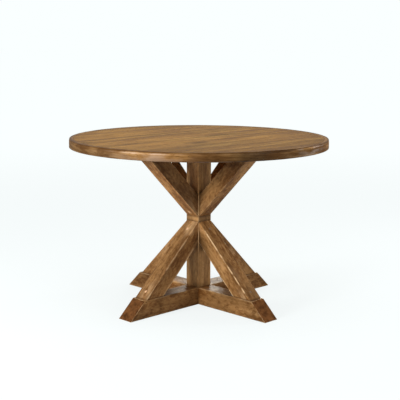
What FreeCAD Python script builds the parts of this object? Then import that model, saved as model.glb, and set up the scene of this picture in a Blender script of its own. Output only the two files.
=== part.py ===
"""Round pedestal dining table: a planked top on a braced square post with a crossed base.

Millimetres, +Z up, origin on the floor under the middle of the post. The two base runners lie along X
and Y, and the top boards run along X.
"""
import FreeCAD, Part
import math
import os

Vec = FreeCAD.Vector

# Whole table
TABLE_HEIGHT = 762.0
TOP_DIAMETER = 1161.0

# Top: edge-glued boards inside a deeper edge band
BOARD_COUNT = 10
BOARD_THICKNESS = 25.0
BOARD_BEVEL = 0.8
BAND_COUNT = 4
BAND_DEPTH = 38.8
BAND_WIDTH = 20.0
BAND_TOP_ROUND = 3.0
BAND_BOTTOM_ROUND = 2.0
BAND_GLUE_GAP = 0.15

# Post
POST_WIDTH = 79.0
POST_ROUND = 3.0

# Base runners, half-lapped under the post
RUNNER_WIDTH = 80.0
RUNNER_HEIGHT = 78.5
RUNNER_LEDGE = 11.0
RUNNER_END_ANGLE = 43.5
RUNNER_ROUND = 2.5

# Braces: the depth is square to the slope, and the angles are from the floor
BRACE_WIDTH = 72.0
BRACE_DEPTH = 70.0
BRACE_ROUND = 2.5
LOWER_BRACE_ANGLE = 44.1
UPPER_BRACE_ANGLE = 44.5
LOWER_BRACE_TOP = 382.6
WAIST_LENGTH = 25.8

# Cleats, half-lapped under the top boards
CLEAT_WIDTH = 79.0
CLEAT_THICKNESS = 38.0
CLEAT_OVERHANG = 68.0
CLEAT_END_BEVEL = 18.0

# Half laps of the runners and of the cleats
LAP_CLEARANCE = 0.2

# Tie rod through the post
TIE_ROD_DIAMETER = 12.0
TIE_BORE_CLEARANCE = 0.5
TIE_THREAD_CLEARANCE = 0.05
TIE_NUT_WIDTH = 19.0
TIE_NUT_HEIGHT = 10.0
TIE_WASHER_DIAMETER = 32.0
TIE_WASHER_THICKNESS = 3.0
TIE_END_LENGTH = 2.0
TIE_RECESS_CLEARANCE = 2.0
TIE_FLOOR_GAP = 7.0
TIE_TOP_GAP = 1.0
POST_CORE_WALL = 5.5

# Screws that hold the braces, each under a round plug
SCREW_DIAMETER = 5.0
SCREW_HEAD_DIAMETER = 8.6
SCREW_HEAD_HEIGHT = 3.4
SCREW_TIP_LENGTH = 6.0
SCREW_BITE = 30.0
FASTENER_CLEARANCE = 0.2
PLUG_DIAMETER = 9.5
PLUG_DEPTH = 8.0
PLUG_CLEARANCE = 0.1
LOWER_HEAD_SCREW_DROP = 30.7
LOWER_FOOT_SCREW_INSET = 29.0
UPPER_FOOT_SCREW_RISE = 17.6

# Dowels beside those screws
DOWEL_DIAMETER = 10.0
DOWEL_BRACE_DEPTH = 25.0
DOWEL_RUNNER_DEPTH = 25.0
DOWEL_CHAMFER = 1.0
DOWEL_END_GAP = 0.5
DOWEL_CLEARANCE = 0.1

# Screws down through the cleats into the upper braces
HEAD_SCREW_INSET = 30.0
HEAD_SCREW_COVER = 7.0

# Pan-head screws with washers, up through the cleats into the boards
TOP_SCREW_DIAMETER = 5.0
TOP_SCREW_HEAD_DIAMETER = 10.0
TOP_SCREW_HEAD_HEIGHT = 3.6
TOP_SCREW_COVER = 8.0
TOP_SCREW_EDGE = 18.0
TOP_WASHER_DIAMETER = 15.0
TOP_WASHER_THICKNESS = 1.5
DRIVE_SLOT_WIDTH = 1.4
DRIVE_SLOT_LENGTH = 5.5
DRIVE_SLOT_DEPTH = 1.8

# Levelling feet, drawn up into the runners
LEVELER_INSET = 60.0
LEVELER_FLOOR_GAP = 1.0
LEVELER_COLLAR_GAP = 1.0
LEVELER_TRAVEL = 12.0
LEVELER_PAD_DIAMETER = 30.0
LEVELER_PAD_THICKNESS = 5.0
LEVELER_PAD_ROUND = 1.5
LEVELER_COLLAR_WIDTH = 13.0
LEVELER_COLLAR_HEIGHT = 3.5
LEVELER_STEM_DIAMETER = 8.0
LEVELER_THREAD_CLEARANCE = 0.05
LEVELER_INSERT_DIAMETER = 12.0
LEVELER_INSERT_LENGTH = 18.0
LEVELER_INSERT_CLEARANCE = 0.1
LEVELER_RECESS_GAP = 3.0
LEVELER_WELL_CLEARANCE = 1.0
LEVELER_WELL_END = 2.0

# Places that follow from the sizes above
ARMS = {"right": 0.0, "back": 90.0, "left": 180.0, "front": 270.0}
TOP_RADIUS = TOP_DIAMETER / 2
BAND_INNER_RADIUS = TOP_RADIUS - BAND_WIDTH
FIELD_RADIUS = BAND_INNER_RADIUS - BAND_GLUE_GAP
BOARD_WIDTH = 2 * FIELD_RADIUS / BOARD_COUNT
BOARD_BOTTOM = TABLE_HEIGHT - BOARD_THICKNESS
CLEAT_BOTTOM = BOARD_BOTTOM - CLEAT_THICKNESS
POST_FACE = POST_WIDTH / 2
LOWER_SLOPE = math.tan(math.radians(LOWER_BRACE_ANGLE))
UPPER_SLOPE = math.tan(math.radians(UPPER_BRACE_ANGLE))
LOWER_RISE = BRACE_DEPTH / math.cos(math.radians(LOWER_BRACE_ANGLE))
UPPER_RISE = BRACE_DEPTH / math.cos(math.radians(UPPER_BRACE_ANGLE))
LOWER_FOOT_OUT = POST_FACE + (LOWER_BRACE_TOP - RUNNER_HEIGHT) / LOWER_SLOPE
LOWER_FOOT_IN = LOWER_FOOT_OUT - LOWER_RISE / LOWER_SLOPE
UPPER_BRACE_FOOT = LOWER_BRACE_TOP + WAIST_LENGTH
UPPER_HEAD_OUT = POST_FACE + (CLEAT_BOTTOM - UPPER_BRACE_FOOT) / UPPER_SLOPE
UPPER_HEAD_IN = UPPER_HEAD_OUT - UPPER_RISE / UPPER_SLOPE
RUNNER_TOP_REACH = LOWER_FOOT_OUT + RUNNER_LEDGE
RUNNER_REACH = RUNNER_TOP_REACH + RUNNER_HEIGHT / math.tan(math.radians(RUNNER_END_ANGLE))
CLEAT_REACH = UPPER_HEAD_OUT + CLEAT_OVERHANG
TIE_BORE_RADIUS = TIE_ROD_DIAMETER / 2 + TIE_BORE_CLEARANCE
POST_BITE = POST_FACE - TIE_BORE_RADIUS - POST_CORE_WALL
LEVELER_REACH = RUNNER_REACH - LEVELER_INSET
LEVELER_COLLAR_TOP = LEVELER_FLOOR_GAP + LEVELER_PAD_THICKNESS + LEVELER_COLLAR_HEIGHT
LEVELER_RECESS_TOP = LEVELER_COLLAR_TOP + LEVELER_COLLAR_GAP
LEVELER_INSERT_TOP = LEVELER_RECESS_TOP + LEVELER_INSERT_LENGTH
LEVELER_STEM_TOP = LEVELER_INSERT_TOP + LEVELER_TRAVEL
DOWN = Vec(0, 0, -1)
UP = Vec(0, 0, 1)
INWARD = Vec(-1, 0, 0)


def save(shape, node):
    """Writes one node's solids."""
    shape.exportStep("parts/" + node + ".step")
    print(node, len(shape.Solids), "solids", round(shape.Volume / 1000), "cm3")


def turned(shape, arm):
    """A copy of a shape made for the right-hand arm, turned to another arm."""
    copy = shape.copy()
    copy.rotate(Vec(0, 0, 0), UP, ARMS[arm])
    return copy


def on_all_arms(shapes):
    """Copies of the right-hand arm's shapes on all four arms."""
    return [turned(shape, arm) for arm in ARMS for shape in shapes]


def prism(points, width):
    """A side outline of (reach, height) points, made into a solid centred on the XZ plane."""
    corners = [Vec(reach, -width / 2, height) for reach, height in points]
    outline = Part.makePolygon(corners + corners[:1])
    return Part.Face(outline).extrude(Vec(0, width, 0))


def lathe(points):
    """A closed solid turned about Z from (radius, height) points that start and end on the axis."""
    corners = [Vec(radius, 0, height) for radius, height in points]
    outline = Part.makePolygon(corners + corners[:1])
    return Part.Face(outline).revolve(Vec(0, 0, 0), UP, 360)


def aimed(shape, start, direction):
    """A shape made along -Z from the origin, moved to a start point and pointed along a direction."""
    copy = shape.copy()
    copy.Placement = FreeCAD.Placement(start, FreeCAD.Rotation(DOWN, direction))
    return copy


def rod(radius, start, direction, length):
    """A plain cylinder from a start point along a direction."""
    return Part.makeCylinder(radius, length, start, direction)


def edges_along(solid, direction):
    """The straight edges of a solid that run along a direction."""
    found = []
    for edge in solid.Edges:
        run = edge.Vertexes[-1].Point.sub(edge.Vertexes[0].Point)
        if run.Length > 0 and run.cross(direction).Length < 1e-6 * run.Length:
            found.append(edge)
    return found


def drilled(blank, holes):
    """A blank with the holes that reach into it cut out."""
    box = blank.BoundBox
    near = [hole for hole in holes if box.intersect(hole.BoundBox)]
    return blank.cut(near).removeSplitter() if near else blank


def countersunk_screw(length, clearance):
    """A wood screw along -Z with its flat head at the origin, or its hole, wider by a clearance."""
    head = SCREW_HEAD_DIAMETER / 2 + clearance
    shank = SCREW_DIAMETER / 2 + clearance
    point = length + clearance
    return lathe([(0, 0), (head, 0), (shank, -SCREW_HEAD_HEIGHT), (shank, SCREW_TIP_LENGTH - point),
                  (0, -point)])


def plugged_joint(blank, face, seat, direction, bite, slope):
    """A screw under a plug: its solids and its hole, for a brace blank on the right-hand arm.

    face is where the screw's line meets the brace's outer face, and seat where it leaves the brace.
    """
    head = face.add(direction * PLUG_DEPTH)
    length = head.distanceToPoint(seat) + bite
    overrun = PLUG_DIAMETER * max(slope, 1 / slope)
    bore_length = PLUG_DEPTH + overrun
    back = direction * -1
    screw = aimed(countersunk_screw(length, 0), head, direction)
    plug = rod(PLUG_DIAMETER / 2 - PLUG_CLEARANCE, head, back, bore_length).common(blank)
    counterbore = rod(PLUG_DIAMETER / 2, head, back, bore_length)
    pilot = aimed(countersunk_screw(length, FASTENER_CLEARANCE), head, direction)
    return screw, plug, counterbore.fuse(pilot)


def dowel_pair(seat, direction, depth_in, depth_out):
    """A dowel across a joint face at seat, and its hole: depth_in runs along the direction."""
    radius = DOWEL_DIAMETER / 2
    length = depth_in + depth_out
    rim = radius - DOWEL_CHAMFER
    pin = lathe([(0, 0), (rim, 0), (radius, -DOWEL_CHAMFER), (radius, DOWEL_CHAMFER - length), (rim, -length),
                 (0, -length)])
    start = seat.sub(direction * depth_out)
    hole_start = start.sub(direction * DOWEL_END_GAP)
    hole = rod(radius + DOWEL_CLEARANCE, hole_start, direction, length + 2 * DOWEL_END_GAP)
    return aimed(pin, start, direction), hole


def brace_blank(points, angle):
    """A brace on the right-hand arm from its side outline, with its four long edges rounded."""
    blank = prism(points, BRACE_WIDTH)
    slope = math.radians(angle)
    along = Vec(math.cos(slope), 0, math.sin(slope))
    return blank.makeFillet(BRACE_ROUND, edges_along(blank, along))


def lower_brace_blank():
    """The lower brace: its head stands against the post and its foot on the runner."""
    points = [(POST_FACE, LOWER_BRACE_TOP), (LOWER_FOOT_OUT, RUNNER_HEIGHT), (LOWER_FOOT_IN, RUNNER_HEIGHT),
              (POST_FACE, LOWER_BRACE_TOP - LOWER_RISE)]
    return brace_blank(points, -LOWER_BRACE_ANGLE)


def upper_brace_blank():
    """The upper brace: its foot stands against the post and its head under the cleat."""
    points = [(POST_FACE, UPPER_BRACE_FOOT), (UPPER_HEAD_OUT, CLEAT_BOTTOM), (UPPER_HEAD_IN, CLEAT_BOTTOM),
              (POST_FACE, UPPER_BRACE_FOOT + UPPER_RISE)]
    return brace_blank(points, UPPER_BRACE_ANGLE)


def lower_head_joint(blank):
    """Screw, plug and hole where the lower brace's head meets the post."""
    height = LOWER_BRACE_TOP - LOWER_HEAD_SCREW_DROP
    face = Vec(POST_FACE + LOWER_HEAD_SCREW_DROP / LOWER_SLOPE, 0, height)
    return plugged_joint(blank, face, Vec(POST_FACE, 0, height), INWARD, POST_BITE, LOWER_SLOPE)


def lower_foot_joint(blank):
    """Screw, plug and hole where the lower brace's foot meets the runner."""
    reach = LOWER_FOOT_OUT - LOWER_FOOT_SCREW_INSET
    face = Vec(reach, 0, RUNNER_HEIGHT + LOWER_FOOT_SCREW_INSET * LOWER_SLOPE)
    return plugged_joint(blank, face, Vec(reach, 0, RUNNER_HEIGHT), DOWN, SCREW_BITE, LOWER_SLOPE)


def upper_foot_joint(blank):
    """Screw, plug and hole where the upper brace's foot meets the post."""
    height = UPPER_BRACE_FOOT + UPPER_FOOT_SCREW_RISE
    face = Vec(POST_FACE + UPPER_FOOT_SCREW_RISE / UPPER_SLOPE, 0, height)
    return plugged_joint(blank, face, Vec(POST_FACE, 0, height), INWARD, POST_BITE, UPPER_SLOPE)


def lower_head_dowel():
    """Dowel between the screw and the inner corner of the lower brace's head."""
    drop = (LOWER_HEAD_SCREW_DROP + LOWER_RISE) / 2
    seat = Vec(POST_FACE, 0, LOWER_BRACE_TOP - drop)
    return dowel_pair(seat, INWARD, POST_BITE - DOWEL_END_GAP, DOWEL_BRACE_DEPTH)


def lower_foot_dowel():
    """Dowel between the screw and the inner corner of the lower brace's foot."""
    inset = (LOWER_FOOT_SCREW_INSET + LOWER_FOOT_OUT - LOWER_FOOT_IN) / 2
    seat = Vec(LOWER_FOOT_OUT - inset, 0, RUNNER_HEIGHT)
    return dowel_pair(seat, DOWN, DOWEL_RUNNER_DEPTH, DOWEL_BRACE_DEPTH)


def upper_foot_dowel():
    """Dowel between the screw and the inner corner of the upper brace's foot."""
    rise = (UPPER_FOOT_SCREW_RISE + UPPER_RISE) / 2
    seat = Vec(POST_FACE, 0, UPPER_BRACE_FOOT + rise)
    return dowel_pair(seat, INWARD, POST_BITE - DOWEL_END_GAP, DOWEL_BRACE_DEPTH)


def upper_head_fixings():
    """Two screws down through the cleat into the upper brace's head, and their holes."""
    length = CLEAT_THICKNESS + HEAD_SCREW_INSET * UPPER_SLOPE - HEAD_SCREW_COVER
    starts = [Vec(UPPER_HEAD_OUT - HEAD_SCREW_INSET, 0, BOARD_BOTTOM),
              Vec(UPPER_HEAD_IN + HEAD_SCREW_INSET, 0, BOARD_BOTTOM)]
    screws = [aimed(countersunk_screw(length, 0), start, DOWN) for start in starts]
    holes = [aimed(countersunk_screw(length, FASTENER_CLEARANCE), start, DOWN) for start in starts]
    return screws, holes


def pan_head_screw(length):
    """A pan-head screw along -Z with the seat of its head at the origin and a cross slot in the head."""
    shank = TOP_SCREW_DIAMETER / 2
    head = TOP_SCREW_HEAD_DIAMETER / 2
    screw = lathe([(0, TOP_SCREW_HEAD_HEIGHT), (shank, TOP_SCREW_HEAD_HEIGHT), (head, TOP_SCREW_HEAD_HEIGHT / 2),
                   (head, 0), (shank, 0), (shank, SCREW_TIP_LENGTH - length), (0, -length)])
    corner = Vec(-DRIVE_SLOT_LENGTH / 2, -DRIVE_SLOT_WIDTH / 2, TOP_SCREW_HEAD_HEIGHT - DRIVE_SLOT_DEPTH)
    slot = Part.makeBox(DRIVE_SLOT_LENGTH, DRIVE_SLOT_WIDTH, DRIVE_SLOT_DEPTH, corner)
    across = slot.copy()
    across.rotate(Vec(0, 0, 0), UP, 90)
    return screw.cut(slot.fuse(across))


def washer(outer_diameter, bore_radius, thickness, seat, direction):
    """A flat washer on a seat, standing out along a direction."""
    ring = rod(outer_diameter / 2, seat, direction, thickness)
    return ring.cut(rod(bore_radius, seat, direction, thickness))


def top_fixings():
    """Pan-head screws, washers and holes of one arm: a pair inside the brace and a pair outside it."""
    reaches = [(POST_FACE + UPPER_HEAD_IN) / 2, (UPPER_HEAD_OUT + CLEAT_REACH - CLEAT_END_BEVEL) / 2]
    spread = CLEAT_WIDTH / 2 - TOP_SCREW_EDGE
    length = TOP_WASHER_THICKNESS + CLEAT_THICKNESS + BOARD_THICKNESS - TOP_SCREW_COVER
    bore = TOP_SCREW_DIAMETER / 2 + FASTENER_CLEARANCE
    screws = []
    washers = []
    holes = []
    for reach in reaches:
        for side in (-spread, spread):
            seat = Vec(reach, side, CLEAT_BOTTOM)
            head = seat.sub(UP * TOP_WASHER_THICKNESS)
            screws.append(aimed(pan_head_screw(length), head, UP))
            washers.append(washer(TOP_WASHER_DIAMETER, bore, TOP_WASHER_THICKNESS, seat, DOWN))
            holes.append(rod(bore, head, UP, length + FASTENER_CLEARANCE))
    return screws, washers, holes


def hexagon(width, height, base):
    """A hexagonal prism of a width across flats, upright on a base point."""
    radius = width / math.sqrt(3)
    corners = [base.add(Vec(radius * math.cos(k * math.pi / 3), radius * math.sin(k * math.pi / 3), 0))
               for k in range(6)]
    return Part.Face(Part.makePolygon(corners + corners[:1])).extrude(UP * height)


def tie_pieces():
    """Tie rod with its nuts and washers, and the holes that they need."""
    stack = TIE_END_LENGTH + TIE_NUT_HEIGHT + TIE_WASHER_THICKNESS
    low = TIE_FLOOR_GAP
    high = BOARD_BOTTOM - TIE_TOP_GAP
    bar = rod(TIE_ROD_DIAMETER / 2, UP * low, UP, high - low)
    thread = TIE_ROD_DIAMETER / 2 + TIE_THREAD_CLEARANCE
    nut_bases = [UP * (low + TIE_END_LENGTH), UP * (high - TIE_END_LENGTH - TIE_NUT_HEIGHT)]
    nuts = [hexagon(TIE_NUT_WIDTH, TIE_NUT_HEIGHT, base).cut(rod(thread, base, UP, TIE_NUT_HEIGHT))
            for base in nut_bases]
    washers = [washer(TIE_WASHER_DIAMETER, thread, TIE_WASHER_THICKNESS, UP * (low + stack), DOWN),
               washer(TIE_WASHER_DIAMETER, thread, TIE_WASHER_THICKNESS, UP * (high - stack), UP)]
    recess = TIE_WASHER_DIAMETER / 2 + TIE_RECESS_CLEARANCE
    holes = [rod(TIE_BORE_RADIUS, Vec(0, 0, 0), UP, BOARD_BOTTOM), rod(recess, Vec(0, 0, 0), UP, low + stack),
             rod(recess, UP * BOARD_BOTTOM, DOWN, TIE_TOP_GAP + stack)]
    return bar, nuts, washers, holes


def leveler_stem():
    """Threaded stem of the right-hand arm's foot, with the collar that a spanner turns."""
    base = Vec(LEVELER_REACH, 0, LEVELER_FLOOR_GAP + LEVELER_PAD_THICKNESS)
    collar = hexagon(LEVELER_COLLAR_WIDTH, LEVELER_COLLAR_HEIGHT, base)
    shaft = rod(LEVELER_STEM_DIAMETER / 2, base, UP, LEVELER_STEM_TOP - base.z)
    return collar.fuse(shaft).removeSplitter()


def leveler_pad():
    """Pad of the right-hand arm's foot, rounded where it meets the floor."""
    pad = rod(LEVELER_PAD_DIAMETER / 2, Vec(LEVELER_REACH, 0, LEVELER_FLOOR_GAP), UP, LEVELER_PAD_THICKNESS)
    rims = [edge for edge in pad.Edges if edge.BoundBox.ZMax < LEVELER_FLOOR_GAP + LEVELER_PAD_ROUND / 2]
    return pad.makeFillet(LEVELER_PAD_ROUND, rims)


def leveler_insert():
    """Threaded insert of the right-hand arm's foot, and the holes in the runner."""
    base = Vec(LEVELER_REACH, 0, LEVELER_RECESS_TOP)
    floor = Vec(LEVELER_REACH, 0, 0)
    outer = LEVELER_INSERT_DIAMETER / 2
    bore = LEVELER_STEM_DIAMETER / 2 + LEVELER_THREAD_CLEARANCE
    insert = rod(outer, base, UP, LEVELER_INSERT_LENGTH).cut(rod(bore, base, UP, LEVELER_INSERT_LENGTH))
    recess = rod(LEVELER_PAD_DIAMETER / 2 + LEVELER_RECESS_GAP, floor, UP, LEVELER_RECESS_TOP)
    seat = rod(outer + LEVELER_INSERT_CLEARANCE, floor, UP, LEVELER_INSERT_TOP)
    well_radius = LEVELER_STEM_DIAMETER / 2 + LEVELER_WELL_CLEARANCE
    well = rod(well_radius, floor, UP, LEVELER_STEM_TOP + LEVELER_WELL_END)
    return insert, [recess, seat, well]


def lapped_pair(blank, width, height, base):
    """Two crossed timbers from one blank along X, each cut halfway where the other passes."""
    gap = width + 2 * LAP_CLEARANCE
    half = height / 2
    notch = Part.makeBox(gap, 2 * gap, half, Vec(-gap / 2, -gap, base))
    lower = blank.cut(notch.translated(UP * half))
    upper = blank.cut(notch)
    upper.rotate(Vec(0, 0, 0), UP, 90)
    return lower, upper


def runner_blank():
    """A base runner along X with bevelled ends and all its edges rounded."""
    points = [(-RUNNER_REACH, 0), (RUNNER_REACH, 0), (RUNNER_TOP_REACH, RUNNER_HEIGHT),
              (-RUNNER_TOP_REACH, RUNNER_HEIGHT)]
    blank = prism(points, RUNNER_WIDTH)
    return blank.makeFillet(RUNNER_ROUND, blank.Edges)


def cleat_blank():
    """A cleat along X, bevelled at the lower corners of its ends."""
    inner = CLEAT_REACH - CLEAT_END_BEVEL
    shoulder = CLEAT_BOTTOM + CLEAT_END_BEVEL
    points = [(-inner, CLEAT_BOTTOM), (inner, CLEAT_BOTTOM), (CLEAT_REACH, shoulder), (CLEAT_REACH, BOARD_BOTTOM),
              (-CLEAT_REACH, BOARD_BOTTOM), (-CLEAT_REACH, shoulder)]
    return prism(points, CLEAT_WIDTH)


def post_blank():
    """The square post between the runners and the cleats, with rounded corners."""
    corner = Vec(-POST_FACE, -POST_FACE, RUNNER_HEIGHT)
    blank = Part.makeBox(POST_WIDTH, POST_WIDTH, CLEAT_BOTTOM - RUNNER_HEIGHT, corner)
    return blank.makeFillet(POST_ROUND, edges_along(blank, UP))


def top_board(index, holes):
    """One board of the top: a strip along X with eased top edges, trimmed to the round."""
    front = index * BOARD_WIDTH - FIELD_RADIUS
    back = front + BOARD_WIDTH
    eased = TABLE_HEIGHT - BOARD_BEVEL
    outline = [(front, BOARD_BOTTOM), (back, BOARD_BOTTOM), (back, eased), (back - BOARD_BEVEL, TABLE_HEIGHT),
               (front + BOARD_BEVEL, TABLE_HEIGHT), (front, eased)]
    corners = [Vec(-TOP_RADIUS, across, height) for across, height in outline]
    strip = Part.Face(Part.makePolygon(corners + corners[:1])).extrude(Vec(TOP_DIAMETER, 0, 0))
    field = rod(FIELD_RADIUS, UP * BOARD_BOTTOM, UP, BOARD_THICKNESS)
    return drilled(strip.common(field), holes)


def quarter_arc(reach, height, radius, start):
    """A quarter circle in the XZ plane about (reach, height), from a start angle in degrees."""
    angles = [math.radians(start + step) for step in (0, 45, 90)]
    points = [Vec(reach + radius * math.cos(a), 0, height + radius * math.sin(a)) for a in angles]
    return Part.Arc(*points).toShape()


def edge_band(index):
    """One curved length of the edge band, rounded along its outer edges."""
    low = TABLE_HEIGHT - BAND_DEPTH
    inner_low = Vec(BAND_INNER_RADIUS, 0, low)
    inner_high = Vec(BAND_INNER_RADIUS, 0, TABLE_HEIGHT)
    bottom = quarter_arc(TOP_RADIUS - BAND_BOTTOM_ROUND, low + BAND_BOTTOM_ROUND, BAND_BOTTOM_ROUND, -90)
    top = quarter_arc(TOP_RADIUS - BAND_TOP_ROUND, TABLE_HEIGHT - BAND_TOP_ROUND, BAND_TOP_ROUND, 0)
    outline = Part.Wire([Part.makeLine(inner_low, bottom.firstVertex().Point), bottom,
                         Part.makeLine(bottom.lastVertex().Point, top.firstVertex().Point), top,
                         Part.makeLine(top.lastVertex().Point, inner_high), Part.makeLine(inner_high, inner_low)])
    sweep = 360 / BAND_COUNT
    band = Part.Face(outline).revolve(Vec(0, 0, 0), UP, sweep)
    band.rotate(Vec(0, 0, 0), UP, index * sweep)
    return band


def main():
    """Makes every piece and writes one file for each node."""
    os.makedirs("parts", exist_ok=True)
    lower_blank = lower_brace_blank()
    upper_blank = upper_brace_blank()
    plugged = {"lower_head": lower_head_joint(lower_blank), "lower_foot": lower_foot_joint(lower_blank),
               "upper_foot": upper_foot_joint(upper_blank)}
    dowels = {"lower_head": lower_head_dowel(), "lower_foot": lower_foot_dowel(), "upper_foot": upper_foot_dowel()}
    head_screws, head_holes = upper_head_fixings()
    top_screws, top_washers, top_holes = top_fixings()
    tie_bar, tie_nuts, tie_washers, tie_holes = tie_pieces()
    insert, leveler_holes = leveler_insert()

    joint_holes = [hole for screw, plug, hole in plugged.values()] + [hole for pin, hole in dowels.values()]
    holes = on_all_arms(joint_holes + head_holes + top_holes + leveler_holes) + tie_holes

    for index in range(BOARD_COUNT):
        save(top_board(index, holes), "top_board_%02d" % (index + 1))
    for index in range(BAND_COUNT):
        save(edge_band(index), "edge_band_%d" % (index + 1))
    save(drilled(post_blank(), holes), "post")
    for arm in ARMS:
        save(drilled(turned(lower_blank, arm), holes), "lower_brace_" + arm)
        save(drilled(turned(upper_blank, arm), holes), "upper_brace_" + arm)
    timbers = {"runner": lapped_pair(runner_blank(), RUNNER_WIDTH, RUNNER_HEIGHT, 0),
               "cleat": lapped_pair(cleat_blank(), CLEAT_WIDTH, CLEAT_THICKNESS, CLEAT_BOTTOM)}
    for name, (side_timber, depth_timber) in timbers.items():
        save(drilled(side_timber, holes), name + "_left_right")
        save(drilled(depth_timber, holes), name + "_front_back")

    for name, (screw, plug, hole) in plugged.items():
        save(Part.makeCompound(on_all_arms([screw])), name + "_screws")
        save(Part.makeCompound(on_all_arms([plug])), name + "_plugs")
    for name, (pin, hole) in dowels.items():
        save(Part.makeCompound(on_all_arms([pin])), name + "_dowels")
    save(Part.makeCompound(on_all_arms(head_screws)), "upper_head_screws")
    save(Part.makeCompound(on_all_arms(top_screws)), "top_screws")
    save(Part.makeCompound(on_all_arms(top_washers)), "top_washers")
    save(tie_bar, "tie_rod")
    save(Part.makeCompound(tie_nuts), "tie_nuts")
    save(Part.makeCompound(tie_washers), "tie_washers")
    save(Part.makeCompound(on_all_arms([insert])), "leveler_inserts")
    for arm in ARMS:
        save(turned(leveler_stem(), arm), "leveler_stem_" + arm)
        save(turned(leveler_pad(), arm), "leveler_pad_" + arm)


main()
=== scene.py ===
# %% [markdown]
# # Dressing a round pedestal table
# The frame is a planked round top on a square post. Eight slanted braces hold the post between a crossed base
# and a pair of cleats. Every timber already has its size and place, so nothing here is moved. The lesson
# gives the timbers what a workshop leaves on them: rubbed edges, a scraped surface, grain along each piece,
# and a brown stain with dark glaze in the seams.

# %% Load the frame
import math

import bmesh
import bpy
import numpy as np
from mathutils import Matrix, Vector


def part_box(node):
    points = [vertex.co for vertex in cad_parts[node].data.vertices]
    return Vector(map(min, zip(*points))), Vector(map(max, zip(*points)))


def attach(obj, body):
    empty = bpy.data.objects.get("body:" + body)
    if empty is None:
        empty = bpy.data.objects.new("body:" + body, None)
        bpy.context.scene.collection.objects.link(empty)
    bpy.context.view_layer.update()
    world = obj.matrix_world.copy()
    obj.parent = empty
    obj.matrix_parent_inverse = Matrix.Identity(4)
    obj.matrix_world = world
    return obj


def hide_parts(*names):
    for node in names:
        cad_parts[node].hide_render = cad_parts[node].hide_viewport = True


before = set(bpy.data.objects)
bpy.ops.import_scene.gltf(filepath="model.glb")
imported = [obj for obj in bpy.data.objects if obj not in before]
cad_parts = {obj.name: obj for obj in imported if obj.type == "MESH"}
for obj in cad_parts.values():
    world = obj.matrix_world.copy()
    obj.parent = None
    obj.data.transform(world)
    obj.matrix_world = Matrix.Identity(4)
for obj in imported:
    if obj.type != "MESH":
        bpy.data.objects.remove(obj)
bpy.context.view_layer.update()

# %% [markdown]
# ## Sizes
# A dressed timber has to lie exactly where the bare one lies. The sizes could be typed in again, but then two
# files would have to agree. They are read from the frame's boxes instead, and only what a box can't tell is
# written here: the width of the edge band, the depth of a brace, the ledge and slant of the runners' ends,
# and the radii of the rounded edges.

# %% Sizes of the top, the post, the braces and the runners
X, Y, Z = 0, 1, 2


def span(node, axis):
    """Lowest and highest place of one node along an axis."""
    low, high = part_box(node)
    return low[axis], high[axis]


BAND_LOW, TABLE_HEIGHT = span("edge_band_1", Z)
TOP_RADIUS = span("edge_band_1", X)[1]
BAND_WIDTH = 0.020
BAND_TOP_ROUND = 0.003
BAND_LOW_ROUND = 0.002
BAND_GAP = 0.00015
FIELD_RADIUS = TOP_RADIUS - BAND_WIDTH - BAND_GAP
BOARD_LOW = span("top_board_05", Z)[0]

POST_LOW, POST_HIGH = span("post", Z)
POST_FACE = span("post", X)[1]
POST_ROUND = 0.002

BRACE_HALF_WIDTH = span("lower_brace_right", Y)[1]
BRACE_DEPTH = 0.070
BRACE_ROUND = 0.0012
LOWER_OUT, LOWER_TOP = span("lower_brace_right", X)[1], span("lower_brace_right", Z)[1]
UPPER_OUT, UPPER_FOOT = span("upper_brace_right", X)[1], span("upper_brace_right", Z)[0]
LOWER_ANGLE = math.atan2(LOWER_TOP - POST_LOW, LOWER_OUT - POST_FACE)
UPPER_ANGLE = math.atan2(POST_HIGH - UPPER_FOOT, UPPER_OUT - POST_FACE)

RUNNER_HALF_WIDTH = span("runner_left_right", Y)[1]
RUNNER_LEDGE = 0.011
RUNNER_END_ANGLE = math.radians(43.5)
RUNNER_TOP_REACH = LOWER_OUT + RUNNER_LEDGE
RUNNER_ROUND = 0.0015
ARMS = {"right": 0, "back": 90, "left": 180, "front": 270}

print("top", round(2 * TOP_RADIUS, 3), "m across,", round(TABLE_HEIGHT, 3), "m high")
print("brace slopes in degrees:", [round(math.degrees(angle), 1) for angle in (LOWER_ANGLE, UPPER_ANGLE)])

# %% [markdown]
# ## Meshes from whole arrays
# Each timber is a closed section carried along a line, so it is a grid of points: one row for each station
# along the timber, one column for each point round the section. A loop over vertices would do, but whole
# arrays are shorter and much faster. Besides its place, each vertex keeps the values that the finishes read:
# where it lies in the grain, how pale it is from rubbing and painted highlight, how dark from glaze and
# painted shade, and its tone, which holds painted light and shade as well as stain.

# %% Faces of a grid, and a mesh piece with its finish values
MERGE_DISTANCE = 1e-6
SHARP_ANGLE = math.radians(35)


def loop_quads(loops):
    """Quads between neighbouring rows of point numbers, with each row closed on itself."""
    here, ahead = loops[:-1], loops[1:]
    quads = np.stack([here, np.roll(here, -1, axis=1), np.roll(ahead, -1, axis=1), ahead], axis=-1)
    return quads.reshape(-1, 4).tolist()


def ring_quads(stations, count):
    """Quads over a whole grid of stations, each a closed ring of count points."""
    return loop_quads(np.arange(stations * count).reshape(stations, count))


def end_faces(stations, count):
    """One flat face over the first ring and one over the last."""
    last = (stations - 1) * count
    return [list(range(count)), list(range(last, last + count))]


def close_mesh(mesh):
    """Merges points that coincide, as at a pole, and turns every face outwards."""
    work = bmesh.new()
    work.from_mesh(mesh)
    bmesh.ops.remove_doubles(work, verts=work.verts, dist=MERGE_DISTANCE)
    bmesh.ops.recalc_face_normals(work, faces=work.faces)
    work.to_mesh(mesh)
    work.free()


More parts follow.
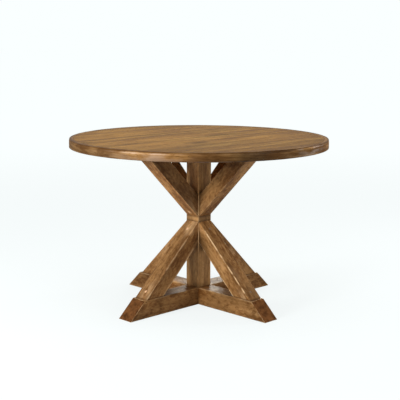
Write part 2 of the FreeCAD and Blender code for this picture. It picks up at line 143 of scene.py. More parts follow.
def make_piece(name, points, faces, looks, nodes):
    """A mesh piece on the table's body that stands for some nodes and hides them."""
    mesh = bpy.data.meshes.new(name)
    mesh.from_pydata(points.reshape(-1, 3).tolist(), [], faces)
    for key, values in looks.items():
        vector = key == "grain"
        layer = mesh.attributes.new(key, "FLOAT_VECTOR" if vector else "FLOAT", "POINT")
        full = np.broadcast_to(values, points.shape if vector else points.shape[:-1])
        layer.data.foreach_set("vector" if vector else "value", full.astype(np.float32).ravel())
    close_mesh(mesh)
    mesh.polygons.foreach_set("use_smooth", np.ones(len(mesh.polygons), bool))
    mesh.set_sharp_from_angle(angle=SHARP_ANGLE)
    piece = bpy.data.objects.new(name, mesh)
    bpy.context.scene.collection.objects.link(piece)
    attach(piece, "table")
    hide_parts(*nodes)
    return piece


def face_count(pieces):
    """Faces of several pieces together."""
    return sum(len(piece.data.polygons) for piece in pieces)


print("mesh helpers ready")

# %% [markdown]
# ## Rubbed edges
# Distressed furniture has no straight arris: the maker rubs each edge back by hand, more here and less there.
# A bevel modifier would round every edge alike, so the section itself changes along the timber. Its corners
# are quarter circles, and a slow random wave says how far each one is rubbed back at each station.

# %% A rounded section, a random wave, and the section as it is worn
CORNER_SPANS = 4
FACE_MARKS = np.array([0.002, 0.005, 0.010, 0.018, 0.026, 0.030])
FACE_SLANT = (1.0, 2.3)
RUB_DEPTH, RUB_REACH, RUB_WAVES = 0.0003, 0.004, (0.30, 0.05)
SCRAPE_DEPTH, SCRAPE_WAVES = 0.00025, (0.16, 0.04)
WEAR_REACH = 0.0035


def fading(distance, reach):
    """1 at no distance, falling off as a bell over the reach."""
    return np.exp(-(np.asarray(distance) / reach) ** 2)


def ripple(seed, along, across, longest, shortest, waves=7):
    """A smooth random value from 0 to 1: sine waves of random length, slant and phase, added and squeezed."""
    draw = np.random.default_rng(seed)
    total = 0.0
    for _ in range(waves):
        length = draw.uniform(shortest, longest)
        slant = draw.uniform(-1.0, 1.0)
        total = total + np.sin(2 * np.pi * (along + slant * across) / length + draw.uniform(0, 2 * np.pi))
    return 0.5 + 0.5 * np.tanh(total / math.sqrt(waves))


def rounded_section(half_width, half_depth, radius):
    """Points (across, through) round a rectangle with quarter-circle corners.

    Also gives each point's outward direction, and its distance along the surface from the nearest corner.
    """
    turn = np.linspace(0, 90, CORNER_SPANS + 1)
    signs = [(1, 1), (-1, 1), (-1, -1), (1, -1)]
    outline, outward, from_edge = [], [], []
    for quarter, sign in enumerate(signs):
        angle = np.radians(90 * quarter + turn)
        out = np.stack([np.cos(angle), np.sin(angle)], axis=-1)
        centre = np.array(sign) * (half_width - radius, half_depth - radius)
        run = 2 * (half_width - radius if quarter % 2 == 0 else half_depth - radius)
        steps = np.concatenate([FACE_MARKS, [run / 2], run - FACE_MARKS[::-1]])
        heading = np.array([-out[-1, 1], out[-1, 0]])
        corner = centre + radius * out
        outline += [corner, corner[-1] + steps[:, None] * heading]
        outward += [out, np.repeat(out[-1:], len(steps), axis=0)]
        from_edge += [radius * np.abs(np.radians(turn - 45)),
                      radius * math.pi / 4 + np.minimum(steps, run - steps)]
    return np.concatenate(outline), np.concatenate(outward), np.concatenate(from_edge)


def rubbed(section, along, seed):
    """The section at each station, always moved inwards: far at the corners, a little on the faces.

    The corner's move is its depth times a bell of the distance from the corner, and both follow random waves.
    """
    outline, outward, from_edge = section
    across = outline @ FACE_SLANT
    bell = fading(from_edge, RUB_REACH)
    rub = RUB_DEPTH * bell * ripple(seed, along[:, None], across, *RUB_WAVES)
    scrape = SCRAPE_DEPTH * (1 - bell) * ripple(seed + 1, along[:, None], across, *SCRAPE_WAVES)
    return outline - (rub + scrape)[..., None] * outward


print("a section has", len(rounded_section(POST_FACE, POST_FACE, POST_ROUND)[0]), "points")

# %% [markdown]
# ## Top boards
# The field of the top is ten boards glued edge to edge and cut to a circle. A flat disc with lines painted on
# it would lose the seams in other views, so each board is its own piece: a strip whose length at each place
# across is the chord of the circle there. Its top is scraped slightly uneven, and its edges are eased. Boards
# of one tree still differ in tone, and knots and rubbed places show as soft clouds, so each board has a tone
# of its own and a few listed places change it. The first boards' tones are lower also as painted shade along
# the front of the top.

# %% Ten boards, each cut to the chord of the circle
BOARD_EASE = 0.0008
BOARD_STATIONS = 121
BOARD_MARKS = np.array([0.0, 0.0008, 0.0025, 0.006, 0.012, 0.022, 0.034, 0.046])
BOARD_SEED, BOARD_WAVES = 10, (0.25, 0.06)
BOARD_GRAIN_STEP = np.array([3.7, 0.0, 0.9])
SEAM_REACH = 0.0022
BOARD_END_GLAZE = 0.4
RIM_SHADE, RIM_SHADE_REACH = 0.14, 0.04
# Board tones: uneven stain, and lower on the first boards as painted shade along the front of the top.
BOARD_TONES_AND_SHADE = (0.91, 0.90, 1.0, 1.05, 1.05, 1.08, 0.99, 1.11, 1.06, 1.02)
CLOUDY_PLACES = (
    (0.14, 0.0, 0.12, 0.03, -0.46), (-0.16, -0.16, 0.05, 0.03, -0.50), (-0.24, -0.265, 0.28, 0.07, -0.30),
    (-0.53, 0.17, 0.05, 0.015, -0.45), (-0.28, -0.08, 0.12, 0.04, 0.26), (0.0, -0.08, 0.06, 0.03, 0.24),
    (-0.12, 0.08, 0.18, 0.04, 0.26), (-0.08, 0.21, 0.08, 0.05, -0.18), (0.30, 0.20, 0.20, 0.06, -0.14),
    (0.24, 0.46, 0.12, 0.06, -0.24), (0.18, -0.22, 0.12, 0.05, 0.24), (0.28, -0.34, 0.20, 0.06, 0.11),
    (-0.15, 0.33, 0.30, 0.03, 0.18), (-0.15, 0.45, 0.25, 0.06, 0.14), (-0.40, 0.0, 0.14, 0.03, -0.16))


def cloudy(along, across, places):
    """1, changed by a bell for each place (knot, rubbed spot, painted light or shade): middle, reach both
    ways, change.
    """
    bells = [change * fading(along - middle, length) * fading(across - aside, width)
             for middle, aside, length, width, change in places]
    return 1 + sum(bells)


def board_ends(count, across):
    """Quads over both ends of a board, between its top row of points and its bottom row."""
    ends = []
    for first in (0, (BOARD_STATIONS - 1) * count):
        upper = first + np.arange(across)
        lower = first + count - 1 - np.arange(across)
        ends += np.stack([upper[:-1], upper[1:], lower[1:], lower[:-1]], axis=-1).tolist()
    return ends


def make_board(number):
    """Board: x = s * sqrt(R^2 - y^2) for s from -1 to 1, with a top row and a bottom row of points across."""
    node = "top_board_%02d" % number
    front, back = np.clip(span(node, Y), -FIELD_RADIUS, FIELD_RADIUS)
    middle = (front + back) / 2
    marks = BOARD_MARKS[BOARD_MARKS < (back - front) / 2]
    row = np.concatenate([front + marks, [middle], back - marks[::-1]])
    y = np.concatenate([row, row[::-1]])
    s = np.sin(np.linspace(-np.pi / 2, np.pi / 2, BOARD_STATIONS))[:, None]
    x = s * np.sqrt(np.maximum(FIELD_RADIUS ** 2 - y ** 2, 0.0))
    y = np.broadcast_to(y, x.shape)
    from_seam = np.minimum(y - front, back - y)
    from_band = FIELD_RADIUS - np.hypot(x, y)
    ease = BOARD_EASE * np.clip(1 - np.minimum(from_seam, from_band) / BOARD_EASE, 0, 1)
    scrape = SCRAPE_DEPTH * ripple(BOARD_SEED + number, x, y, *BOARD_WAVES)
    on_top = np.arange(y.shape[1]) < len(row)
    points = np.stack([x, y, np.where(on_top, TABLE_HEIGHT - ease - scrape, BOARD_LOW)], axis=-1)

    at_band = BOARD_END_GLAZE * fading(from_band, SEAM_REACH)
    shade = 1 - RIM_SHADE * fading(from_band, RIM_SHADE_REACH)
    looks = {"grain": points - (0.0, middle, TABLE_HEIGHT) + number * BOARD_GRAIN_STEP,
             "wear_and_highlight": 0.0, "glaze_and_shade": np.maximum(fading(from_seam, SEAM_REACH), at_band),
             "tone": BOARD_TONES_AND_SHADE[number - 1] * cloudy(x, y, CLOUDY_PLACES) * shade}
    faces = ring_quads(*x.shape) + board_ends(x.shape[1], len(row))
    return make_piece("board_%02d" % number, points, faces, looks, [node])


boards = [make_board(number) for number in range(1, len(BOARD_TONES_AND_SHADE) + 1)]
print(len(boards), "boards,", face_count(boards), "faces")

# %% [markdown]
# ## Painted light and stain on the rim
# The rim's tone drifts from light to dark round it. This is painted light and shade, lighter where the rim
# faces the lamps and in a painted sheen, darker where it turns away from them, with uneven stain in it too.
# It also lightens a little up the rim, as painted shade towards the lower edge. Dark glaze lies along the
# upper edge, the lower edge is rubbed pale, and two stretches carry a painted highlight on the face and in a
# line below the top. A noise would strew such places anywhere, so they are written as turns round the rim in
# degrees.

# %% Wear, glaze, tone, painted light and painted highlight round the edge band
JOINT_REACH = 0.0012
JOINT_GLAZE = 0.25
BAND_SEAM_GLAZE = 0.2
BAND_LINE_REACH = 0.008
LINE_LEAN = (20, 60)
RIM_LEAN = (20, 75)
# Tone at turns round the rim in degrees: painted light and shade, with uneven stain in it.
RIM_PAINTED_LIGHT_AND_STAIN = (
    (0, 1.0), (90, 0.85), (141, 0.55), (156, 0.5), (170, 0.56), (186, 0.57), (195, 0.8), (201, 1.06),
    (216, 1.1), (225, 0.86), (231, 0.67), (236, 0.72), (243, 0.38), (250, 0.37), (257, 0.68), (272, 0.58),
    (281, 0.83), (286, 0.77), (301, 1.3), (360, 1.0))
# How much lighter the rim is higher up: painted shade towards its lower edge.
RIM_PAINTED_SHADE_TILT = 0.18
LOW_EDGE_RUB = 0.3
# Painted highlights on the rim: middle and spread in degrees, share on face and line, line's drop below the
# top.
PAINTED_HIGHLIGHT_STRETCHES = ((203, 14, 0.36, 0.66, 0.0095), (280, 10, 0.6, 1.4, 0.0055))
HIGHLIGHT_LINE_REACH = 0.003
HIGHLIGHT_LINE_TONE = 0.38


def band_finish(turn, from_joint, outline, lean):
    """Finish values of one length of the band, from the turn round the rim and the section's points and lean.

    A stretch of painted highlight has a middle and a spread in degrees, and pales the face and a line below
    the top.
    """
    radius, height = outline.T
    from_boards = np.abs(radius - (TOP_RADIUS - BAND_WIDTH))
    from_rim = np.maximum(TOP_RADIUS - BAND_TOP_ROUND - radius, 0)
    dark_line = np.interp(lean, LINE_LEAN, (0, 1)) * fading(from_rim, BAND_LINE_REACH)
    at_joints = JOINT_GLAZE * fading(from_joint, 2 * JOINT_REACH)
    seams = np.maximum(at_joints, BAND_SEAM_GLAZE * fading(from_boards, SEAM_REACH))
    low_edge = LOW_EDGE_RUB * fading(height - BAND_LOW, WEAR_REACH)
    highlight_face = highlight_line = 0.0
    for middle, spread, on_face, on_line, drop in PAINTED_HIGHLIGHT_STRETCHES:
        stretch = fading(np.degrees(turn) - middle, spread)[:, None]
        line = fading(TABLE_HEIGHT - drop - height, HIGHLIGHT_LINE_REACH)
        highlight_face = highlight_face + on_face * stretch * (lean == 0)
        highlight_line = highlight_line + on_line * stretch * line
    # Lighter up the rim and darker towards its lower edge: painted shade.
    up_rim = 2 * (height - BAND_LOW) / (TABLE_HEIGHT - BAND_LOW) - 1
    rim_light_and_stain = np.interp(np.degrees(turn), *zip(*RIM_PAINTED_LIGHT_AND_STAIN))[:, None] * (1 + RIM_PAINTED_SHADE_TILT * up_rim)
    on_rim = np.interp(lean, RIM_LEAN, (1, 0))
    return {"wear_and_highlight": np.maximum(low_edge, np.maximum(highlight_line, highlight_face)),
            "glaze_and_shade": np.maximum(seams, dark_line * np.clip(1 - highlight_line, 0, 1)),
            "tone": 1 + (rim_light_and_stain - 1) * on_rim + HIGHLIGHT_LINE_TONE * highlight_line}


print("stain drifts over", len(RIM_PAINTED_LIGHT_AND_STAIN), "turns, with", len(PAINTED_HIGHLIGHT_STRETCHES), "rubbed stretches")

# %% [markdown]
# ## Edge band
# Four curved lengths close the boards' ends. They are deeper than the boards, so the top looks thick, and
# their grain follows the rim. A curve with a bevel would bend a strip as well; it is simpler to carry the
# section round the circle, a quarter turn for each length. Its upper edge falls away in a quarter of an
# ellipse that holds a dark line of glaze and catches the light below it; on two stretches a painted
# highlight lies there as well.

# %% Four quarters of the edge band
BAND_STATIONS = 120
BAND_TOP_FALL = 0.016
BAND_ROUND_SPANS, BAND_FACE_SPANS, BAND_FLAT_SPANS = 12, 13, 7
BAND_SEED, BAND_WAVES = 40, (0.20, 0.05)
JOINT_EASE = 0.0003


def eased_steps(count):
    """Shares from 0 to 1 that lie closer together towards both ends."""
    return 0.5 - 0.5 * np.cos(np.linspace(0, np.pi, count))


def band_section():
    """Points (radius, height) round the band and the elevation of the surface there, in degrees.

    A top face, a quarter ellipse, the rim face, a quarter circle, the underside and the inner face.
    """
    inner = TOP_RADIUS - BAND_WIDTH
    turn = np.radians(np.linspace(90, 0, BAND_ROUND_SPANS + 1))
    upper = np.stack([TOP_RADIUS - BAND_TOP_ROUND * (1 - np.cos(turn)),
                      TABLE_HEIGHT - BAND_TOP_FALL * (1 - np.sin(turn))], axis=-1)
    lower = np.stack([TOP_RADIUS - BAND_LOW_ROUND * (1 - np.sin(turn)),
                      BAND_LOW + BAND_LOW_ROUND * (1 - np.cos(turn))], axis=-1)
    share = eased_steps(BAND_FACE_SPANS + 1)[1:-1, None]
    face = upper[-1] + (lower[0] - upper[-1]) * share
    flat = np.linspace(0, 1, BAND_FLAT_SPANS + 1)[:-1, None]
    top = np.array([inner, TABLE_HEIGHT]) * (1 - flat) + upper[0] * flat
    under = lower[-1] * (1 - flat) + np.array([inner, BAND_LOW]) * flat
    outline = np.concatenate([top, upper, face, lower, under[1:], [[inner, BAND_LOW]]])
    rise = np.degrees(turn)
    upright = np.full(len(flat), 90.0)
    lean = np.concatenate([upright, rise, np.zeros(len(share)), rise - 90, -upright])
    return outline, lean


def make_band(number):
    """Band: the section turned about Z from one axis to the next, moved inwards by wear and at the joints."""
    turn = np.pi / 2 * (number - 1 + eased_steps(BAND_STATIONS))
    along = TOP_RADIUS * turn[:, None]
    outline, lean = band_section()
    outward = np.stack([np.cos(np.radians(lean)), np.sin(np.radians(lean))], axis=-1)
    from_joint = np.minimum(along - along[0], along[-1] - along)
    scrape = SCRAPE_DEPTH * ripple(BAND_SEED + number, along, outline[:, 1], *BAND_WAVES)
    moved = scrape + JOINT_EASE * fading(from_joint, JOINT_REACH)
    rows = outline - moved[..., None] * outward
    radius, z = rows[..., 0], rows[..., 1]
    points = np.stack([radius * np.cos(turn)[:, None], radius * np.sin(turn)[:, None], z], axis=-1)
    looks = band_finish(turn, from_joint, outline, lean)
    looks["grain"] = np.stack([np.broadcast_to(along, z.shape), z - TABLE_HEIGHT, radius], axis=-1)
    faces = ring_quads(*z.shape) + end_faces(*z.shape)
    return make_piece("band_%d" % number, points, faces, looks, ["edge_band_%d" % number])


bands = [make_band(number) for number in range(1, 5)]
print(len(bands), "band quarters,", face_count(bands), "faces")

# %% [markdown]
# ## Post
# The post is one square timber. Only its corners and a short bare waist show between the braces, and those
# corners catch the light, so they get the same rubbed section as the rest. Grain runs up the post. Glaze
# stays dark at the joints, and painted shade darkens the foot and the post over the upper braces and under
# the lower ones. One tone for all of it would look flat, so the tone changes below and above the waist, and
# the front face has its own tones; these tones are partly painted light and shade, and the left face is
# painted darker towards the back.

# %% The square post
POST_STATIONS = 140
POST_SEED = 60
JOINT_SHADE = 0.006
# Painted shade at the post's foot.
POST_FOOT_SHADE, POST_FOOT_SHADE_REACH = 0.6, 0.02
# Painted shade on the post over the upper braces and under the lower ones, and in the braces' inner corners.
CROTCH_PAINTED_SHADE, CROTCH_SHADE_REACH = 0.85, 0.03
POST_RUB, CROTCH_RUB, CROTCH_RUB_REACH = 0.12, 0.7, 0.05
WAIST_REACH = 0.10
# Painted shade: the post's left face darkens towards the back.
POST_PAINTED_SHADE_DRIFT = 0.35
# Tones below, at and above the waist, and on the front face: partly stain, partly painted light and shade.
POST_TONES_AND_LIGHT = (1.35, 1.08, 1.4)
POST_FRONT_TONES_AND_LIGHT = (1.58, 0.78, 1.10)


def post_finish(z, outline, outward, from_edge):
    """Finish values of the post; clear is how far a point lies over the upper braces or under the lower."""
    joints = np.array([POST_LOW, LOWER_TOP, UPPER_FOOT, POST_HIGH])
    at_joints = fading(np.abs(z[..., None] - joints).min(axis=-1), JOINT_SHADE)
    foot_shade = POST_FOOT_SHADE * fading(z - POST_LOW, POST_FOOT_SHADE_REACH)
    above = z - UPPER_FOOT - BRACE_DEPTH / math.cos(UPPER_ANGLE)
    below = LOWER_TOP - BRACE_DEPTH / math.cos(LOWER_ANGLE) - z
    clear = np.maximum(above, below)
    corner = fading(from_edge, WEAR_REACH)
    # Painted shade in the crotches, away from the corners.
    crotch_shade = CROTCH_PAINTED_SHADE * fading(clear, CROTCH_SHADE_REACH) * (clear > 0) * (1 - corner)
    rub = POST_RUB + CROTCH_RUB * fading(clear + CROTCH_RUB_REACH, CROTCH_RUB_REACH)
    from_waist = (z - (LOWER_TOP + UPPER_FOOT) / 2) / WAIST_REACH
    left, front = np.clip(-outward.T, 0, 1)
    # Painted shade on the left face, darker towards the back.
    drift = 1 - POST_PAINTED_SHADE_DRIFT * outline[:, 1] / POST_FACE * left
    tone = (1 - front) * drift * np.interp(from_waist, (-1, 0, 1), POST_TONES_AND_LIGHT)
    tone = tone + front * np.interp(from_waist, (-1, 0, 1), POST_FRONT_TONES_AND_LIGHT)
    return {"wear_and_highlight": rub * corner, "glaze_and_shade": np.maximum(np.maximum(at_joints, foot_shade), crotch_shade), "tone": tone}


def make_post():
    """Post: the square section carried straight up Z."""
    along = np.linspace(POST_LOW, POST_HIGH, POST_STATIONS)
    section = rounded_section(POST_FACE, POST_FACE, POST_ROUND)
    rows = rubbed(section, along, POST_SEED)
    z = np.broadcast_to(along[:, None], rows.shape[:2])
    points = np.concatenate([rows, z[..., None]], axis=-1)
    looks = post_finish(z, *section)
    looks["grain"] = points[..., [Z, X, Y]]
    faces = ring_quads(*z.shape) + end_faces(*z.shape)
    return make_piece("post_timber", points, faces, looks, ["post"])


post = make_post()
print("post,", face_count([post]), "faces")

# %% [markdown]
# ## Where a brace runs
# A brace leaves the post at a slant and stops at a level cut, on the base or under the top. Round plugs sit
# on its outer face. Their seats are needed twice, for the plugs and for the rubbed ring round each, so they
# are worked out before the braces are made, from the boxes of the plugs in the frame.

# %% A brace's line, and the seats of the plugs on it
def brace_line(kind):
    """Where a brace's outer face leaves the post, the height of its level cut, its slope and outward way."""
    if kind == "lower":
        height, level, angle, way = LOWER_TOP, POST_LOW, LOWER_ANGLE, -1.0
    else:
        height, level, angle, way = UPPER_FOOT, POST_HIGH, UPPER_ANGLE, 1.0
    slope = np.array([math.cos(angle), way * math.sin(angle)])
    outward = np.array([math.sin(angle), -way * math.cos(angle)])
    return np.array([POST_FACE, height]), level, slope, outward


def on_arm(reach, side, height, arm):
    """Points given as reach from the post's middle, place to the side and height, turned to one arm."""
    turn = math.radians(ARMS[arm])
    x = reach * math.cos(turn) - side * math.sin(turn)
    y = reach * math.sin(turn) + side * math.cos(turn)
    return np.stack([x, y, np.broadcast_to(height, x.shape)], axis=-1)


def plug_seats():
    """For each plugged joint: where its plug meets the brace, which brace, and the stretch of its oval."""
    radius = (span("lower_head_plugs", Z)[1] - span("lower_head_plugs", Z)[0]) / 2
    head = sum(span("lower_head_plugs", Z)) / 2
    foot = span("lower_foot_plugs", X)[1] - radius
    upper = sum(span("upper_foot_plugs", Z)) / 2
    fall, rise = math.tan(LOWER_ANGLE), math.tan(UPPER_ANGLE)
    return radius, {
        "lower_head": ((POST_FACE + (LOWER_TOP - head) / fall, head), "lower", 1 / math.sin(LOWER_ANGLE)),
        "lower_foot": ((foot, POST_LOW + (LOWER_OUT - foot) * fall), "lower", 1 / math.cos(LOWER_ANGLE)),
        "upper_foot": ((POST_FACE + (upper - UPPER_FOOT) / rise, upper), "upper", 1 / math.sin(UPPER_ANGLE))}


PLUG_RADIUS, PLUG_SEATS = plug_seats()
print(len(PLUG_SEATS), "plug seats on each arm,", round(2000 * PLUG_RADIUS, 1), "mm across")

# %% [markdown]
# ## Wear and painted light on the braces
# No two braces of a hand-finished table look alike. One edge of each is rubbed more than the other, and knots
# and rubbed places cloud the faces. Light and shade are painted in as well: a pale ring round the plugs is a
# painted highlight, the dark inner corner by the post is painted shade, the tones of the outer faces and the
# sides follow how the lamps light them, and a few places are a painted shadow of the top or painted light. A
# noise alone would treat all eight alike, so each brace has its own tones, and a few places given as a
# distance along it, a place across, a reach both ways and a change.

# %% Wear, glaze, painted light and shade, and tone of one brace
def by_arm(*values):
    """One value for each arm, in the order right, back, left, front."""
    return dict(zip(ARMS, values))


# Tones of each brace's outer faces and sides: uneven stain, and painted light and shade on lit and shaded
# faces.
OUTER_TONES_AND_LIGHT = {"lower": by_arm(1.0, 1.0, 0.86, 1.2), "upper": by_arm(0.9, 0.82, 1.55, 1.3)}
SIDE_TONES_AND_SHADE = {"lower": by_arm(1.0, 1.0, 1.2, 1.02), "upper": by_arm(1.0, 0.9, 0.62, 0.88)}
EDGE_RUB = {"lower": by_arm(1.0, 1.0, 0.7, 2.2), "upper": by_arm(0.2, 0.2, 0.2, 0.2)}
EDGE_REACH = {"lower_left": 0.004, "lower_front": 0.0025}
NEAR_SIDE = by_arm(1, -1, 1, -1)
FAR_EDGE = 0.12
HEAD_RUB, HEAD_RUB_REACH = by_arm(0.0, 0.0, 2.0, 0.0), 0.09
# The pale ring round the plugs is a painted highlight, strongest on the left arm.
PLUG_HALO_HIGHLIGHT, HIGHLIGHT_HALO_REACH = by_arm(0.2, 0.2, 1.2, 0.0), 0.008
HEAD_GLAZE, HEAD_SHADE = 0.3, 0.003
CORNER_SHADE_REACH = 0.05
OUTER_PLACES = {
    "lower_left": ((0.03, 0.01, 0.06, 0.03, 0.5), (0.40, 0.008, 0.06, 0.03, 0.38)),
    "lower_front": ((0.405, 0.012, 0.05, 0.03, -0.5), (0.30, -0.02, 0.05, 0.02, 0.16))}
# Side places: knots and rubbed spots, the top's painted shadow on the upper front brace, painted light near
# the upper braces' feet, painted shade by the lower front brace's head.
SIDE_PLACES_AND_LIGHT = {
    "lower_right": ((0.26, -0.025, 0.06, 0.03, 0.35),),
    "lower_back": ((0.21, -0.015, 0.06, 0.02, 0.25),),
    "lower_left": ((0.29, -0.013, 0.05, 0.02, -0.3),),
    "lower_front": ((0.22, -0.024, 0.06, 0.02, 0.15), (0.405, -0.022, 0.035, 0.025, 0.35),
                    (0.08, -0.06, 0.08, 0.03, -0.42), (0.02, -0.01, 0.03, 0.02, 0.35)),
    "upper_left": ((0.0, -0.035, 0.12, 0.12, 0.42),),
    "upper_front": ((0.05, -0.035, 0.05, 0.04, 0.12), (0.21, -0.06, 0.06, 0.03, -0.45),
                    (0.11, -0.06, 0.04, 0.02, -0.4))}


def plug_highlight_halo(kind, s, side, depth):
    """The pale ring round each plug, a painted highlight: a bell of the distance from it along the brace's
    outer face.
    """
    slope = brace_line(kind)[2]
    places = [(face[0] - POST_FACE) / slope[0] for face, plugged, _ in PLUG_SEATS.values() if plugged == kind]
    return sum(fading(np.hypot(s - place, side), HIGHLIGHT_HALO_REACH) for place in places) * fading(depth, HIGHLIGHT_HALO_REACH)


def brace_finish(kind, arm, section, place, from_head, from_foot):
    """Finish values of one brace, from its section and each point's place (s along it, side, depth)."""
    name = "%s_%s" % (kind, arm)
    outline, outward, from_edge = section
    s, side, depth = place
    at_joints = np.maximum(HEAD_GLAZE * fading(from_head, HEAD_SHADE), fading(from_foot, JOINT_SHADE))
    # Painted shade in the inner corner between the brace and the post.
    crotch_shade = CROTCH_PAINTED_SHADE * fading(from_head, CORNER_SHADE_REACH) * fading(depth + BRACE_DEPTH, CORNER_SHADE_REACH)
    sideways = outward[:, 0] ** 2
    # Places on faces and sides, some of them painted light and shade; the lighter ones also pale the wood.
    cloud = cloudy(s, side, OUTER_PLACES.get(name, ())) * (1 - sideways)
    cloud = cloud + cloudy(s, depth, SIDE_PLACES_AND_LIGHT.get(name, ())) * sideways
    reach = EDGE_REACH.get(name, WEAR_REACH) * (1 + HEAD_RUB[arm] * fading(from_head, HEAD_RUB_REACH))
    near = np.where(outline[:, 0] * NEAR_SIDE[arm] > 0, 1.0, FAR_EDGE)
    edges = EDGE_RUB[kind][arm] * near * fading(from_edge, reach)
    highlight_halo = PLUG_HALO_HIGHLIGHT[arm] * plug_highlight_halo(kind, s, side, depth)
    tone = OUTER_TONES_AND_LIGHT[kind][arm] * (1 - sideways) + SIDE_TONES_AND_SHADE[kind][arm] * sideways
    return {"wear_and_highlight": np.maximum(edges, np.maximum(highlight_halo, np.clip(cloud - 1, 0, 1))),
            "glaze_and_shade": np.maximum(at_joints, crotch_shade), "tone": tone * cloud}


print("chosen places on", len(set(OUTER_PLACES) | set(SIDE_PLACES_AND_LIGHT)), "braces")

# %% [markdown]
# ## Braces
# A brace is a straight timber whose head is sawn upright against the post and whose foot is sawn level. It
# could be a box cut by two planes. It is simpler to let every line of the section run from the one plane to
# the other: where each line starts and stops follows from its place in the section, so both cuts are exact.

# %% Eight slanted braces
BRACE_STATIONS = 90
BRACE_SEEDS = {"lower": 100, "upper": 105}
ARM_SEED_STEP = 10
BRACE_GRAIN_STEP = np.array([0.01, 0.0, 0.003])


def make_brace(kind, arm):
    """Brace: point = head + depth * outward + s * slope, with s between the post's face and the level cut."""
    head, level, slope, outward = brace_line(kind)
    seed = BRACE_SEEDS[kind] + ARM_SEED_STEP * ARMS[arm]
    section = rounded_section(BRACE_HALF_WIDTH, BRACE_DEPTH / 2, BRACE_ROUND)
    length = (level - head[1]) / slope[1]
    t = np.linspace(0, 1, BRACE_STATIONS)
    rows = rubbed(section, t * length, seed)
    side, depth = rows[..., 0], rows[..., 1] - BRACE_DEPTH / 2
    start = -depth * outward[0] / slope[0]
    stop = (level - head[1] - depth * outward[1]) / slope[1]
    s = start + t[:, None] * (stop - start)
    reach = head[0] + depth * outward[0] + s * slope[0]
    height = head[1] + depth * outward[1] + s * slope[1]
    points = on_arm(reach, side, height, arm)
    looks = brace_finish(kind, arm, section, (s, side, depth), s - start, stop - s)
    looks["grain"] = np.stack([s, side, depth], axis=-1) + seed * BRACE_GRAIN_STEP
    faces = ring_quads(*s.shape) + end_faces(*s.shape)
    node = "%s_brace_%s" % (kind, arm)
    return make_piece("brace_%s_%s" % (kind, arm), points, faces, looks, [node])


braces = [make_brace(kind, arm) for kind in ("lower", "upper") for arm in ARMS]
print(len(braces), "braces,", face_count(braces), "faces")

# %% [markdown]
# ## Stations along a runner
# Two runners cross under the post, each cut halfway where the other passes, with ends sawn at a slant. The
# section stays upright in the middle and leans over towards the ends, so that the last ring lies in the saw
# cut. A few smaller rings round off the end's edge and carry its wear. A straight timber could be cut at a
# slant instead, but then its grain and wear would have to be cut with it.

# %% Stations from the middle of a runner to one end
LAP_CLEARANCE = 0.0002
LAP_STEP = 0.004
LAP_STATIONS = 5
STRAIGHT_REACH = 0.300
RUNNER_HALF_STATIONS = 60
LEAN_STATIONS = 24
END_SHRINK = (0.86, 0.62, 0.35)


def end_rings():
    """Rings of one end: a set-back from the saw cut, an inward move and a shrink for each.

    Over the rounded edge the set-back is r(1 - sin) and the inward move r(1 - cos) of the turn.
    """
    turn = np.linspace(0, np.pi / 2, CORNER_SPANS + 1)
    flat = np.zeros(len(END_SHRINK))
    set_back = np.concatenate([RUNNER_ROUND * (1 - np.sin(turn)), flat])
    inset = np.concatenate([RUNNER_ROUND * (1 - np.cos(turn)), flat + RUNNER_ROUND])
    shrink = np.concatenate([np.ones(len(turn)), END_SHRINK])
    return set_back, inset, shrink


def half_runner_stations():
    """Stations from the middle to one end: places along the straight, then shares of the leaning stretch."""
    lap = RUNNER_HALF_WIDTH + LAP_CLEARANCE
    beyond = np.linspace(lap + LAP_STEP, STRAIGHT_REACH, RUNNER_HALF_STATIONS)
    straight = np.concatenate([np.linspace(0, lap, LAP_STATIONS), [lap], beyond])
    lean = np.linspace(0, 1, LEAN_STATIONS)[1:-1]
    set_back, inset, shrink = end_rings()
    plain = np.zeros(len(straight) + len(lean))
    along = np.concatenate([straight, np.full(len(lean) + len(inset), STRAIGHT_REACH)])
    return {"along": along,
            "share": np.concatenate([np.zeros(len(straight)), lean, np.ones(len(inset))]),
            "set_back": np.concatenate([plain, set_back]),
            "inset": np.concatenate([plain, inset]),
            "shrink": np.concatenate([np.ones(len(plain)), shrink]),
            "lapped": np.arange(len(along)) < LAP_STATIONS}


print(2 * len(half_runner_stations()["along"]) - 1, "stations along a runner")

# %% [markdown]
# ## Recesses under the runners
# The levelling feet and the tie rod's nut sit in round bores in the underside. A boolean cut would leave long
# thin faces, so a square window of the grid gives way to rings instead: they run from the window's border in
# to a circle, and then up the steps of the bore.

# %% A grid with its windows filled by rings
FOOT_REACH = sum(span("leveler_pad_right", X)) / 2
FOOT_RECESS = ((0.018, 0.0), (0.018, 0.0106), (0.0061, 0.0106), (0.0061, 0.0286), (0.005, 0.0286),
               (0.005, 0.0425))
TIE_RECESS = ((0.018, 0.0), (0.018, 0.0221))
RECESS_BORDER = 0.0265


